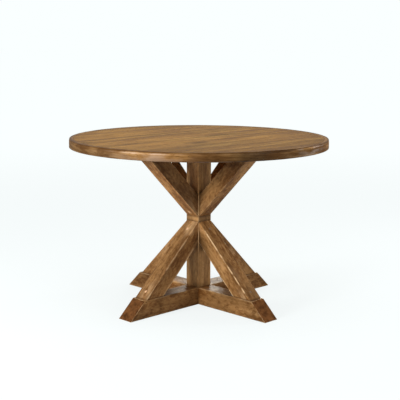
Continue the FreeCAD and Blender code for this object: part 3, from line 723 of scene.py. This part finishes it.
def cut_recesses(local, shape, recesses, columns):
    """Round recesses, given as radii and heights, in the underside of a grid of points (along, side, height).

    Each ring lies on rays from the bore's middle through the window's border, at one radius and height. Also
    gives, for every point, the grid point whose finish values it takes.
    """
    index = np.arange(len(local)).reshape(shape)
    keep = np.ones((shape[0] - 1, shape[1]), bool)
    source, added = index.ravel(), []
    left, right = columns
    for centre, profile in recesses:
        along = local[index[:, left], 0]
        first, last = [np.argmin(np.abs(along - centre - edge)) for edge in (-RECESS_BORDER, RECESS_BORDER)]
        keep[first:last, left:right] = False
        border = np.concatenate([index[first, left:right], index[first:last, right],
                                 index[last, right:left:-1], index[last:first:-1, left]])
        out = local[border, :2] - (centre, 0.0)
        out = out / np.hypot(*out.T)[:, None]
        rings = [np.column_stack([(centre, 0.0) + radius * out, np.maximum(local[border, 2], height)])
                 for radius, height in profile]
        numbers = len(local) + np.arange(len(profile) * len(border)).reshape(len(profile), -1)
        added += loop_quads(np.concatenate([border[None], numbers])) + [numbers[-1].tolist()]
        local = np.concatenate([local, *rings])
        source = np.concatenate([source] + [border] * len(profile))
    quads = [quad for quad, kept in zip(ring_quads(*shape), keep.ravel()) if kept]
    return local, quads + added, source


print("feet sit", round(FOOT_REACH, 3), "m from the middle")

# %% [markdown]
# ## Runners
# With stations and recesses in hand, a runner is its section carried along, worn like the other timbers. At
# the half lap, the notched half of each ring is laid flat at half the height. A painted shadow darkens the
# top beside the braces' heels, the sawn ends have a tone of their own, and a few places are rubbed paler or
# duller; two of them, by the crossing and on the back half, are painted light. Those places are given along
# the runner and across its top, unrolled down both sides.

# %% Two crossed base runners
LAP_HALF_WIDTH = RUNNER_HALF_WIDTH - 0.0005
LEAN_LENGTH = 0.15
RUNNER_GRAIN_STEP = np.array([0.013, 0.0, 0.01])
RUNNER_RUB = 0.45
CROSS_GLAZE = 0.15
HEEL = LOWER_OUT - BRACE_DEPTH / math.sin(LOWER_ANGLE)
# Painted shadow on the runners' tops beside the braces' heels.
HEEL_PAINTED_SHADOW, HEEL_SHADOW_REACH = 0.9, 0.09
FLAT = 0.9
RUNNER_TONES = {"left_right": 0.90, "front_back": 0.84}
END_TONES = {"left_right": 1.05, "front_back": 1.28}
# Runner places; on the front-back runner the bright ones by the crossing and on the back half are painted
# light.
RUNNER_PLACES_AND_LIGHT = {"left_right": ((-0.345, -0.062, 0.05, 0.02, 0.6),),
                 "front_back": ((-0.04, 0.08, 0.05, 0.06, 1.5), (0.135, 0.03, 0.05, 0.05, 0.8),
                                (-0.30, 0.10, 0.05, 0.02, 0.4), (-0.21, 0.045, 0.05, 0.012, -0.3))}


def runner_finish(name, stations, section, local):
    """Finish values of a runner, from its stations, its section and its points (along, side, height)."""
    _, outward, from_edge = section
    along, side, z = np.moveaxis(local, -1, 0)
    reach = np.abs(along)
    inset, set_back, whole = stations["inset"], stations["set_back"], stations["shrink"] == 1
    end_edge = fading(set_back - inset + RUNNER_ROUND / 2, RUNNER_ROUND) * whole * (set_back + inset > 0)
    at_cross = CROSS_GLAZE * fading(np.maximum(reach - RUNNER_HALF_WIDTH, 0), JOINT_SHADE)
    # Painted shadow on the top face, inside the heel.
    heel_shadow = HEEL_PAINTED_SHADOW * fading(HEEL - reach, HEEL_SHADOW_REACH) * (reach < HEEL) * (outward[:, 1] > FLAT)
    unrolled = np.sign(side) * (np.abs(side) + POST_LOW - z)
    tone = RUNNER_TONES[name] * cloudy(along, unrolled, RUNNER_PLACES_AND_LIGHT[name])
    end = inset > RUNNER_ROUND / 2
    return {"wear_and_highlight": np.maximum(RUNNER_RUB * fading(from_edge, WEAR_REACH) * whole, end_edge),
            "glaze_and_shade": np.maximum(at_cross, heel_shadow), "tone": np.where(end, END_TONES[name], tone), "end": end}


def make_runner(name, arm, notch_above, seed):
    """Runner: upright sections, then sections that lean until they lie in the slanted end."""
    half = half_runner_stations()
    stations = {key: np.concatenate([value[:0:-1], value])[:, None] for key, value in half.items()}
    sign = np.where(np.arange(len(stations["along"])) < len(half["along"]) - 1, -1.0, 1.0)[:, None]
    section = rounded_section(RUNNER_HALF_WIDTH, POST_LOW / 2, RUNNER_ROUND)
    outline, outward, _ = section
    wave_place = sign * (stations["along"] + LEAN_LENGTH * stations["share"])
    rows = rubbed(section, wave_place[:, 0], seed)
    rows = (rows - stations["inset"][..., None] * outward) * stations["shrink"][..., None]
    notched = stations["lapped"] & (outline[:, 1] * (1 if notch_above else -1) > 0)
    round_section = np.arctan2(np.abs(outline[:, 1]), outline[:, 0])
    side = np.where(notched, LAP_HALF_WIDTH * (1 - 2 * round_section / np.pi), rows[..., 0])
    z = np.where(notched, POST_LOW / 2, rows[..., 1] + POST_LOW / 2)
    tip = RUNNER_TOP_REACH + (POST_LOW - z) / math.tan(RUNNER_END_ANGLE) - stations["set_back"]
    along = sign * (stations["along"] + stations["share"] * (tip - STRAIGHT_REACH))
    local = np.stack([along, side, z], axis=-1)
    looks = runner_finish(name, stations, section, local)

    recesses = [(-FOOT_REACH, FOOT_RECESS), (FOOT_REACH, FOOT_RECESS)] + [(0.0, TIE_RECESS)] * notch_above
    under = np.flatnonzero(outward[:, 1] < -FLAT)
    columns = [under[np.argmin(np.abs(outline[under, 0] - edge))] for edge in (-RECESS_BORDER, RECESS_BORDER)]
    local, faces, source = cut_recesses(local.reshape(-1, 3), z.shape, recesses, columns)
    looks = {key: np.broadcast_to(values, z.shape).ravel()[source] for key, values in looks.items()}
    looks["grain"] = local + seed * RUNNER_GRAIN_STEP
    points = on_arm(*local.T, arm)
    faces = faces + end_faces(*z.shape)
    return make_piece("base_runner_" + name, points, faces, looks, ["runner_" + name])


runners = [make_runner("left_right", "right", True, 80), make_runner("front_back", "back", False, 90)]
print(len(runners), "runners,", face_count(runners), "faces")

# %% [markdown]
# ## Plugs
# A round wooden plug covers each brace screw. On the slanted face it shows as a short oval, slightly domed
# and polished by the sanding. Its small bright spot is a painted highlight: the plugs are much paler than the
# braces, lightest on the left arm and darkest on the front, with a pale ring round them, strongest on the
# left.
# A flat disc wouldn't catch the light, so each plug is a low dome on a short shank.

# %% Twelve domed plugs
PLUG_DOME = 0.0012
PLUG_SINK = 0.003
PLUG_RINGS = np.array([0.02, 0.25, 0.5, 0.72, 0.88, 0.96, 1.0, 1.0])[:, None]
PLUG_POINTS = 32
# Plug tones on each arm are painted light: lightest on the left arm, which faces the left lamp, darkest in
# front.
PLUG_PAINTED_LIGHT_TONES = by_arm(0.55, 0.6, 1.1, 0.36)


def plug_dome(face, kind, stretch, arm):
    """A dome: face + radius * rho * (cos, stretch * sin) + dome * (1 - rho^2) * outward, and a shank."""
    slope, outward = brace_line(kind)[2:]
    angle = np.linspace(0, 2 * np.pi, PLUG_POINTS, endpoint=False)
    lift = PLUG_DOME * (1 - PLUG_RINGS ** 2)
    lift[-1] = -PLUG_SINK
    side = PLUG_RADIUS * PLUG_RINGS * np.cos(angle)
    run = PLUG_RADIUS * stretch * PLUG_RINGS * np.sin(angle)
    reach = face[0] + run * slope[0] + lift * outward[0]
    height = face[1] + run * slope[1] + lift * outward[1]
    return on_arm(reach, side, height, arm)


def make_plugs(joint, face, kind, stretch):
    """The plugs of one joint on all four arms, as one piece."""
    points = np.stack([plug_dome(face, kind, stretch, arm) for arm in ARMS])
    rings, count = points.shape[1:3]
    one = ring_quads(rings, count) + end_faces(rings, count)
    shifts = range(0, len(ARMS) * rings * count, rings * count)
    faces = [[shift + corner for corner in corners] for shift in shifts for corners in one]
    tone = np.array(list(PLUG_PAINTED_LIGHT_TONES.values()))[:, None, None]
    looks = {"grain": points, "wear_and_highlight": 0.0, "glaze_and_shade": 0.0, "tone": tone}
    return make_piece("plugs_" + joint, points, faces, looks, [joint + "_plugs"])


plugs = [make_plugs(joint, *seat) for joint, seat in PLUG_SEATS.items()]
print(len(plugs), "groups of four plugs,", face_count(plugs), "faces")

# %% [markdown]
# ## Shader nodes in short calls
# A wood finish takes some fifty nodes. Written out one by one they hide the recipe, so a small helper adds a
# node, sets its options and joins its inputs in one line, and hands back the output for the next line.

# %% A helper that builds one material's nodes
class Finish:
    """The nodes of one material. Each method adds a node and gives back its output socket."""

    def __init__(self, name):
        self.material = bpy.data.materials.new(name)
        self.material.use_nodes = True
        self.tree = self.material.node_tree
        self.shader = self.tree.nodes["Principled BSDF"]

    def node(self, kind, inputs, output=0, **options):
        """Adds one node with its options; inputs are sockets to join or plain values to set."""
        made = self.tree.nodes.new("ShaderNode" + kind)
        for key, value in options.items():
            setattr(made, key, value)
        for key, value in inputs.items():
            self.set(made.inputs[key], value)
        return made.outputs[output]

    def set(self, socket, value):
        """Joins a socket to an output, or sets its own value."""
        if isinstance(value, bpy.types.NodeSocket):
            self.tree.links.new(value, socket)
        else:
            socket.default_value = value

    def shade(self, **values):
        """Sets the shader's inputs by name, with _ for a space."""
        for key, value in values.items():
            self.set(self.shader.inputs[key.replace("_", " ")], value)
        return self.material

    def kept(self, name, output="Fac"):
        """A value that the piece's vertices keep."""
        return self.node("Attribute", {}, output=output, attribute_name=name)

    def place(self):
        """The point's place on the piece."""
        return self.node("TexCoord", {}, output="Object")

    def stretched(self, vector, scale):
        """The vector multiplied axis by axis."""
        return self.node("Mapping", {"Vector": vector, "Scale": scale})

    def noise(self, vector, scale, detail, roughness=0.5, output=0):
        """Noise of a size along each axis, given as repeats per metre."""
        inputs = {"Vector": self.stretched(vector, scale), "Scale": 1.0, "Detail": detail,
                  "Roughness": roughness}
        return self.node("TexNoise", inputs, output=output)

    def math(self, operation, a, b, c=0.0):
        """One sum on values."""
        return self.node("Math", {0: a, 1: b, 2: c}, operation=operation)

    def blend(self, a, b, share):
        """Two values added, with a share of the first and the rest of the second."""
        return self.math("MULTIPLY_ADD", b, 1 - share, self.math("MULTIPLY", a, share))

    def toned(self, colour):
        """A colour scaled by the tone that the vertices keep."""
        return self.node("VectorMath", {0: colour, "Scale": self.kept("tone")}, operation="SCALE")

    def remap(self, value, low, high, to_low=0.0, to_high=1.0):
        """A value carried from one range to another, smoothly and held at the ends."""
        inputs = {"Value": value, "From Min": low, "From Max": high, "To Min": to_low, "To Max": to_high}
        return self.node("MapRange", inputs, interpolation_type="SMOOTHSTEP")

    def mix(self, amount, a, b, blend="MIX"):
        """Two colours mixed."""
        return self.node("Mix", {0: amount, 6: a, 7: b}, output=2, data_type="RGBA", blend_type=blend)

    def ramp(self, value, stops):
        """Colours along a value, from (place, colour) stops."""
        made = self.tree.nodes.new("ShaderNodeValToRGB")
        self.set(made.inputs[0], value)
        elements = made.color_ramp.elements
        while len(elements) < len(stops):
            elements.new(1.0)
        for element, (place, colour) in zip(elements, stops):
            element.position = place
            element.color = colour
        return made.outputs[0]

    def bump(self, height, distance):
        """A bumpy normal from a height between 0 and 1 and the real height of that bump."""
        return self.node("Bump", {"Height": height, "Distance": distance, "Strength": 1.0})


def srgb(red, green, blue):
    """A colour given from 0 to 255, as the linear values that a shader takes."""
    share = np.array([red, green, blue]) / 255
    linear = np.where(share <= 0.04045, share / 12.92, ((share + 0.055) / 1.055) ** 2.4)
    return (*linear.tolist(), 1.0)


print("finish helper ready")

# %% [markdown]
# ## Stained wood
# The table is a coarse hardwood under a brown stain, scraped and rubbed. Seen close it has fibres and pores;
# from a step away it has long streaks, a flowing figure, darker mottling and small flecks. Each of these is
# a noise or a wave stretched along the grain, so one recipe serves every timber: the vertices' grain values
# turn it the right way. Rubbed wood shows paler through the stain, and glaze stays dark in the seams; the
# same pale and dark also carry painted highlights and painted shade.

# %% The wood recipe, with noises in repeats per metre along, across and through the grain
GLAZE, SEAM_GLAZE = srgb(66, 42, 20), 0.7
WANDER, WANDER_REACH = (1.5, 3.0, 3.0), (0.0, 0.05, 0.05)
STREAKS, FIGURE, FIBRES = (1.7, 30.0, 30.0), (1.2, 16.0, 16.0), (8.0, 320.0, 320.0)
FIGURE_SHARE, FIBRE_SHARE = 0.12, 0.08
GRAIN_MIDDLE, GRAIN_STOPS = 0.41, (0.30, 0.5, 0.70)
CLOUDS, DAPPLES = (5.0, 13.0, 13.0), (32.0, 70.0, 70.0)
CLOUD_SHARE, BLOTCH_RANGE, BLOTCH_TINT = 0.45, (0.38, 0.62), (1.0, 1.15, 1.3)
PORES, PORE_RANGE, PORE_GLAZE, PORE_DEPTH = (30.0, 800.0, 800.0), (0.60, 0.72), 0.25, 0.6
FLECKS, FLECK_RANGE, FLECK_GLAZE = (45.0, 190.0, 190.0), (0.63, 0.72), 0.7
RUBBING, RUBBING_RANGE, RUBBING_SHARE = (16.0, 40.0, 40.0), (0.36, 0.58), 0.8
NOISE_RANGE = (0.3, 0.7)
GLOSS_DROP, GLOSS_RISE = 0.05, 0.08


def finer(repeats, fine, drawn=1.0):
    """A noise's repeats made finer all round, and drawn out along the grain."""
    return (repeats[0] * fine / drawn, repeats[1] * fine, repeats[2] * fine)


def grain_colour(finish, flow, streaks, fibres, streak, colours):
    """Streaks, figure and fibres added to one grain value, which picks a colour from dark to light."""
    inputs = {"Vector": finish.stretched(flow, FIGURE), "Scale": 1.0, "Distortion": 5.0, "Detail": 2.0,
              "Detail Scale": 0.8}
    figure = finish.node("TexWave", inputs, output="Fac", bands_direction="Y", wave_profile="SAW")
    value = finish.math("MULTIPLY_ADD", streaks, streak, GRAIN_MIDDLE - 0.5 * streak)
    value = finish.math("MULTIPLY_ADD", figure, FIGURE_SHARE * streak, value)
    value = finish.math("MULTIPLY_ADD", fibres, FIBRE_SHARE, value)
    return finish.ramp(value, list(zip(GRAIN_STOPS, colours)))


def mottled(finish, colour, grain, flow, mottle, fine, drawn):
    """The colour darkened in blotches, blue most and red least, by a cloudy noise and a dappled one."""
    cloud = finish.noise(grain, finer(CLOUDS, fine), detail=2.0)
    dapple = finish.noise(flow, finer(DAPPLES, fine, drawn), detail=4.0, roughness=0.7)
    blotch = finish.remap(finish.blend(cloud, dapple, CLOUD_SHARE), *BLOTCH_RANGE)
    dark = (*[1 - tint * mottle for tint in BLOTCH_TINT], 1.0)
    return finish.mix(1.0, colour, finish.mix(blotch, dark, (1.0, 1.0, 1.0, 1.0)), blend="MULTIPLY")


def handled(finish, colour, grain, flow, pores, worn_and_highlight):
    """Pores and flecks filled with glaze, then rubbed places and painted highlights paler, then glaze in the
    seams and painted shade over all.
    """
    colour = finish.mix(finish.math("MULTIPLY", pores, PORE_GLAZE), colour, GLAZE)
    flecks = finish.noise(flow, FLECKS, detail=2.0, roughness=0.6)
    colour = finish.mix(finish.remap(flecks, *FLECK_RANGE, 0.0, FLECK_GLAZE), colour, GLAZE)
    rubbing = finish.remap(finish.noise(grain, RUBBING, detail=3.0), *RUBBING_RANGE)
    pale_share = finish.math("MULTIPLY", finish.math("MULTIPLY", finish.kept("wear_and_highlight"), rubbing), RUBBING_SHARE)
    colour = finish.mix(pale_share, colour, worn_and_highlight)
    return finish.mix(finish.math("MULTIPLY", finish.kept("glaze_and_shade"), SEAM_GLAZE), colour, GLAZE)


def wood(name, colours, worn_and_highlight, mottle, streak=0.8, gloss=0.40, shine=0.15, fine=1.0, drawn=1.0,
         relief=0.0003):
    """A stained wood: a grain value picks a colour, which mottling, specks, wear and glaze then change."""
    finish = Finish(name)
    grain = finish.kept("grain", "Vector")
    wander = finish.noise(grain, WANDER, detail=1.0, output="Color")
    drift = finish.node("VectorMath", {0: wander, 1: WANDER_REACH}, operation="MULTIPLY")
    flow = finish.node("VectorMath", {0: grain, 1: drift}, operation="ADD")
    streaks = finish.noise(flow, finer(STREAKS, fine), detail=5.0, roughness=0.62)
    fibres = finish.noise(flow, FIBRES, detail=2.0)
    pores = finish.remap(finish.noise(flow, PORES, detail=1.0), *PORE_RANGE)
    colour = grain_colour(finish, flow, streaks, fibres, streak, colours)
    colour = mottled(finish, colour, grain, flow, mottle, fine, drawn)
    colour = finish.toned(handled(finish, colour, grain, flow, pores, worn_and_highlight))
    rough = finish.remap(streaks, *NOISE_RANGE, gloss - GLOSS_DROP, gloss + GLOSS_RISE)
    height = finish.math("MULTIPLY_ADD", pores, -PORE_DEPTH, fibres)
    return finish.shade(Base_Color=colour, Roughness=rough, Specular_IOR_Level=shine,
                        Normal=finish.bump(height, relief))


print("wood recipe ready")

# %% [markdown]
# ## Finishes of the timbers
# The same stain takes differently on each kind of timber: long streaks on the boards, a smooth drawn-out
# grain on the rim, heavy mottling on the braces and runners, a calmer post, and pale polished plugs, whose
# paleness is a painted highlight. One finish for all would look moulded, so each kind gets its own colours,
# from dark grain to light and rubbed, where the rubbed colour also serves painted highlights, and its own
# shares of the recipe.

# %% Five woods on their pieces
# Pale colour of rubbed places, which also serves the painted highlight round the plugs.
RUBBED_AND_HIGHLIGHT_PALE = srgb(232, 196, 148)
top_wood = wood("stained_top_wood", (srgb(126, 79, 19), srgb(168, 122, 55), srgb(200, 157, 89)),
                srgb(196, 160, 116), streak=1.0, mottle=0.3)
# The band's pale colour serves both the rubbed lower edge and the painted highlights on the rim.
band_wood = wood("stained_band_wood", (srgb(112, 75, 33), srgb(168, 126, 77), srgb(204, 163, 114)),
                 srgb(206, 185, 168), mottle=0.55, gloss=0.32, shine=0.06, fine=1.2, drawn=3.0,
                 relief=0.000008)
frame_wood = wood("stained_frame_wood", (srgb(114, 77, 38), srgb(174, 129, 79), srgb(212, 170, 118)),
                  RUBBED_AND_HIGHLIGHT_PALE, streak=0.42, mottle=0.6, gloss=0.45, fine=1.2)
post_wood = wood("stained_post_wood", (srgb(122, 86, 50), srgb(172, 131, 83), srgb(204, 167, 117)),
                 RUBBED_AND_HIGHLIGHT_PALE, streak=0.6, mottle=0.3, fine=1.2)
# The plugs' pale colours stand in for their glint: painted highlight.
plug_wood_and_highlight = wood("plug_wood_painted_highlight", (srgb(190, 146, 100), srgb(240, 196, 156), srgb(250, 214, 180)),
                 srgb(230, 200, 170), streak=0.2, mottle=0.05, gloss=0.3, shine=0.2)

stained = ((boards, top_wood), (bands, band_wood), (braces + runners, frame_wood), ([post], post_wood),
           (plugs, plug_wood_and_highlight))
for pieces, finish in stained:
    for piece in pieces:
        piece.data.materials.append(finish)
print("wood on", sum(len(pieces) for pieces, _ in stained), "pieces")

# %% [markdown]
# ## Sawn ends
# End grain drinks the stain, so the slanted ends of the runners are darker and duller than their sides. A
# separate piece for each end would leave a gap to hide. The runner keeps which of its points lie in a sawn
# end, and every face between such points gets a second finish.

# %% End grain on the runners
END_MOTTLE, END_PORES = (45.0, 45.0, 45.0), (420.0, 420.0, 420.0)
END_MOTTLE_SHARE, END_RANGE = 0.7, (0.36, 0.62)
END_ROUGHNESS, END_SHINE, END_RELIEF = (0.7, 0.8), 0.05, 0.0004


def end_grain(name, dark, light):
    """Sawn end grain: dark, matt and mottled, with small pores."""
    finish = Finish(name)
    place = finish.place()
    mottle = finish.noise(place, END_MOTTLE, detail=4.0, roughness=0.65)
    pores = finish.noise(place, END_PORES, detail=2.0)
    blotch = finish.remap(finish.blend(mottle, pores, END_MOTTLE_SHARE), *END_RANGE)
    colour = finish.toned(finish.mix(blotch, dark, light))
    rough = finish.remap(pores, *NOISE_RANGE, *END_ROUGHNESS)
    return finish.shade(Base_Color=colour, Roughness=rough, Specular_IOR_Level=END_SHINE,
                        Normal=finish.bump(pores, END_RELIEF))


def mark_ends(piece, finish):
    """Gives a second finish to every face whose corners all lie in a sawn end, and counts those faces."""
    mesh = piece.data
    ends = np.empty(len(mesh.vertices), np.float32)
    mesh.attributes["end"].data.foreach_get("value", ends)
    corners = np.empty(len(mesh.loops), np.int32)
    mesh.loops.foreach_get("vertex_index", corners)
    starts = np.empty(len(mesh.polygons), np.int32)
    mesh.polygons.foreach_get("loop_start", starts)
    sawn = np.minimum.reduceat(ends[corners], starts).astype(np.int32)
    mesh.materials.append(finish)
    mesh.polygons.foreach_set("material_index", sawn)
    return int(sawn.sum())


sawn_end = end_grain("sawn_end_grain", srgb(76, 47, 24), srgb(119, 77, 43))
print("end grain on", [mark_ends(runner, sawn_end) for runner in runners], "faces")

# %% [markdown]
# ## Hidden hardware and cleats
# Screws, tie rod, inserts and levelling feet keep the frame's own shapes, which are already right. They only
# need finishes: zinc plate with a fine brushed grain, plain brass, matt nylon, and bare wood on the cleats
# and dowels. These nodes carry no grain values, so their patterns read object coordinates.

# %% Metal, nylon and bare wood
BRUSHED, BRUSHED_DARK = (250.0, 250.0, 1600.0), 0.72
BRUSHED_DROP, BRUSHED_RISE = 0.08, 0.10
SPECKS, SPECK_LIGHT = (1500.0, 1500.0, 1500.0), 1.5
SPECK_ROUGHNESS, SPECK_RELIEF = (0.5, 0.65), 0.0001
FIBRE_FINENESS, STREAK_SHARE, STREAK_RANGE = 12, 0.75, (0.35, 0.65)
BARE_ROUGHNESS, BARE_RELIEF = (0.55, 0.7), 0.0003


def scaled(colour, share):
    """A colour made darker or lighter."""
    return tuple(share * channel for channel in colour[:3]) + (1.0,)


def metal(name, colour, roughness):
    """Plated metal: fine streaks across the turning change its colour and roughness a little."""
    finish = Finish(name)
    streaks = finish.noise(finish.place(), BRUSHED, detail=3.0)
    tint = finish.mix(finish.remap(streaks, *NOISE_RANGE), scaled(colour, BRUSHED_DARK), colour)
    rough = finish.remap(streaks, *NOISE_RANGE, roughness - BRUSHED_DROP, roughness + BRUSHED_RISE)
    return finish.shade(Base_Color=tint, Roughness=rough, Metallic=1.0)


def nylon(name, colour):
    """Moulded nylon: a fine matt grain in colour, roughness and bump."""
    finish = Finish(name)
    specks = finish.noise(finish.place(), SPECKS, detail=2.0)
    tint = finish.mix(specks, colour, scaled(colour, SPECK_LIGHT))
    rough = finish.remap(specks, *NOISE_RANGE, *SPECK_ROUGHNESS)
    return finish.shade(Base_Color=tint, Roughness=rough, Normal=finish.bump(specks, SPECK_RELIEF))


def bare_wood(name, dark, light, scale):
    """Unstained wood on object coordinates: streaks and fibres along the axis with the smallest scale."""
    finish = Finish(name)
    place = finish.place()
    streaks = finish.noise(place, scale, detail=4.0)
    fibres = finish.noise(place, finer(scale, FIBRE_FINENESS), detail=2.0)
    value = finish.remap(finish.blend(streaks, fibres, STREAK_SHARE), *STREAK_RANGE)
    rough = finish.remap(fibres, *NOISE_RANGE, *BARE_ROUGHNESS)
    return finish.shade(Base_Color=finish.mix(value, dark, light), Roughness=rough,
                        Normal=finish.bump(fibres, BARE_RELIEF))


zinc = metal("zinc_plate", srgb(200, 196, 186), 0.35)
brass = metal("plain_brass", srgb(214, 180, 110), 0.32)
nylon_pad = nylon("matt_nylon", srgb(36, 35, 34))
cleat_colours = srgb(108, 77, 46), srgb(146, 108, 68)
cleat_along_x = bare_wood("sawn_cleat_along_x", *cleat_colours, (1.5, 30.0, 30.0))
cleat_along_y = bare_wood("sawn_cleat_along_y", *cleat_colours, (30.0, 1.5, 30.0))
dowel_wood = bare_wood("plain_dowel", srgb(188, 150, 104), srgb(216, 182, 136), (60.0, 60.0, 60.0))

HARDWARE = {"screws": zinc, "washers": zinc, "tie_rod": zinc, "tie_nuts": zinc, "leveler_stem": zinc,
            "leveler_inserts": brass, "leveler_pad": nylon_pad, "dowels": dowel_wood,
            "cleat_left_right": cleat_along_x, "cleat_front_back": cleat_along_y}
finished = [(node, finish) for name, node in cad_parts.items()
            for key, finish in HARDWARE.items() if key in name]
for node, finish in finished:
    node.data.materials.clear()
    node.data.materials.append(finish)
print("hardware finishes on", len(finished), "nodes")

# %% [markdown]
# ## Floor and surround
# A plain pale floor and a pale surround are enough. What the camera sees of them is a steady near-white; what
# lights the table is softer, so that colours render about as they are written. The floor's own glow makes up
# for what the lamps' light lacks far away, so floor and surround meet without a line.

# %% Pale floor and surround
PALE = (0.955, 1.0, 1.0, 1.0)
FLOOR_RADIUS = 60.0
FLOOR_POINTS = 96
FLOOR_SHADOW = 0.16
FLOOR_NEAR_LIGHT = 0.97
FLOOR_NEAR, FLOOR_FAR = 1.0, 7.0
FLOOR_BOUNCE = 0.42
SURROUND = 0.34


def grey(level):
    """A colour with the same level in all channels."""
    return (level, level, level, 1.0)


def floor_finish():
    """Pale to the camera with a faint shadow, and plain matt for the light that the floor sends up."""
    finish = Finish("pale_floor")
    seen = finish.node("LightPath", {}, output="Is Camera Ray")
    matt = finish.node("BsdfDiffuse", {"Color": grey(FLOOR_BOUNCE)})
    shaded = finish.node("BsdfDiffuse", {"Color": PALE})
    distance = finish.node("VectorMath", {0: finish.place()}, output="Value", operation="LENGTH")
    near, far = [(1 - FLOOR_SHADOW * light) / (1 - FLOOR_SHADOW) for light in (FLOOR_NEAR_LIGHT, SURROUND)]
    level = finish.remap(distance, FLOOR_NEAR, FLOOR_FAR, near, far)
    glow = finish.node("Emission", {"Color": PALE, "Strength": level})
    pale = finish.node("MixShader", {0: FLOOR_SHADOW, 1: glow, 2: shaded})
    both = finish.node("MixShader", {0: seen, 1: matt, 2: pale})
    finish.set(finish.tree.nodes["Material Output"].inputs["Surface"], both)
    return finish.material


def make_floor():
    """A wide round floor at height 0."""
    ring = np.linspace(0, 2 * np.pi, FLOOR_POINTS, endpoint=False)
    points = FLOOR_RADIUS * np.stack([np.cos(ring), np.sin(ring), np.zeros(FLOOR_POINTS)], axis=-1)
    mesh = bpy.data.meshes.new("floor")
    mesh.from_pydata(points.tolist(), [], [list(range(FLOOR_POINTS))])
    mesh.materials.append(floor_finish())
    floor = bpy.data.objects.new("floor", mesh)
    bpy.context.scene.collection.objects.link(floor)


def make_surround():
    """A pale world: full strength where the camera sees it, and a soft share of that where it lights."""
    world = bpy.data.worlds.new("surround")
    world.use_nodes = True
    tree = world.node_tree
    path = tree.nodes.new("ShaderNodeLightPath")
    choice = tree.nodes.new("ShaderNodeMix")
    choice.data_type = "RGBA"
    choice.inputs["A"].default_value = grey(SURROUND)
    choice.inputs["B"].default_value = PALE
    tree.links.new(path.outputs["Is Camera Ray"], choice.inputs["Factor"])
    tree.links.new(choice.outputs["Result"], tree.nodes["Background"].inputs["Color"])
    bpy.context.scene.world = world


make_floor()
make_surround()
print("floor", 2 * FLOOR_RADIUS, "m across")

# %% [markdown]
# ## Lights
# A low soft light stands to the left and a broad one hangs overhead. Weaker ones fill from the right, the
# front and behind. One bright lamp would be simpler, but its shadows are hard and its glare hides the grain.
# For the same reason the left and right lights aren't mirrored in the varnish.

# %% Five soft lights
def soft_light(name, azimuth, elevation, distance, size, level, mirrored=True, spread=180,
               tint=(1.0, 1.0, 1.0)):
    """A panel aimed at the table: azimuth 0 stands in front on -Y, and level 1 lights a white card white."""
    lamp = bpy.data.lights.new(name, "AREA")
    lamp.shape = "RECTANGLE"
    lamp.size, lamp.size_y = size
    lamp.spread = math.radians(spread)
    lamp.color = tint
    lamp.energy = level * math.pi ** 2 * distance ** 2
    turn, rise = math.radians(azimuth), math.radians(elevation)
    away = np.array([math.sin(turn) * math.cos(rise), -math.cos(turn) * math.cos(rise), math.sin(rise)])
    light = bpy.data.objects.new(name, lamp)
    light.location = away * distance + np.array([0, 0, TABLE_HEIGHT / 2])
    light.rotation_euler = (math.radians(90 - elevation), 0, turn)
    light.visible_camera = False
    light.visible_glossy = mirrored
    bpy.context.scene.collection.objects.link(light)
    return light


WARM = (1.0, 0.95, 0.82)
lights = [soft_light("left_light", -97, 16, distance=3.6, size=(1.2, 0.6), level=0.78, mirrored=False),
          soft_light("overhead_light", -60, 80, distance=3.4, size=(3.0, 3.0), level=0.49),
          soft_light("right_light", 62, 12, distance=3.0, size=(0.6, 0.6), level=0.30, mirrored=False),
          soft_light("front_light", 5, 12, distance=4.0, size=(1.6, 1.2), level=0.14),
          soft_light("back_light", 123, 6, distance=1.8, size=(0.9, 0.3), level=0.07, spread=60, tint=WARM)]
print("lights:", [light.name for light in lights])

# %% [markdown]
# ## Camera
# The table stands with one corner of its post to the camera, which looks slightly down from half a metre
# above the tabletop. A wide lens close by would bend the round top, so a long lens some four metres away
# keeps it a flat oval.

# %% Camera
CAMERA_REACH = 4.2792
CAMERA_HEIGHT = 1.2184
CAMERA_AZIMUTH = -0.7812
CAMERA_PITCH = 0.1721
CAMERA_YAW = 0.0013
CAMERA_ROLL = 0.0043
FOCAL_PIXELS = 954.63
PICTURE_PIXELS = 400
SENSOR_WIDTH = 36.0
SIGHT = 200.0


def turned(angle, first, second):
    """Two directions at right angles, turned together by an angle, the first towards the second."""
    return (math.cos(angle) * first + math.sin(angle) * second,
            math.cos(angle) * second - math.sin(angle) * first)


def make_camera():
    """A camera from its place and three angles: it looks at the table, turns right, tilts, rolls."""
    x, y, up = np.eye(3)
    right, ahead = turned(CAMERA_AZIMUTH - CAMERA_YAW, x, y)
    above, forward = turned(CAMERA_PITCH, up, ahead)
    right, above = turned(CAMERA_ROLL, right, above)
    inwards = turned(CAMERA_AZIMUTH, x, y)[1]
    place = CAMERA_HEIGHT * up - CAMERA_REACH * inwards
    matrix = np.eye(4)
    matrix[:3] = np.stack([right, above, -forward, place], axis=-1)
    data = bpy.data.cameras.new("camera")
    data.sensor_width = SENSOR_WIDTH
    data.lens = FOCAL_PIXELS / PICTURE_PIXELS * SENSOR_WIDTH
    data.clip_end = SIGHT
    camera = bpy.data.objects.new("camera", data)
    camera.matrix_world = matrix.T.tolist()
    bpy.context.scene.collection.objects.link(camera)
    bpy.context.scene.camera = camera
    return camera


camera = make_camera()
bpy.context.scene.view_settings.view_transform = "Standard"
print("camera lens", round(camera.data.lens, 2), "mm")
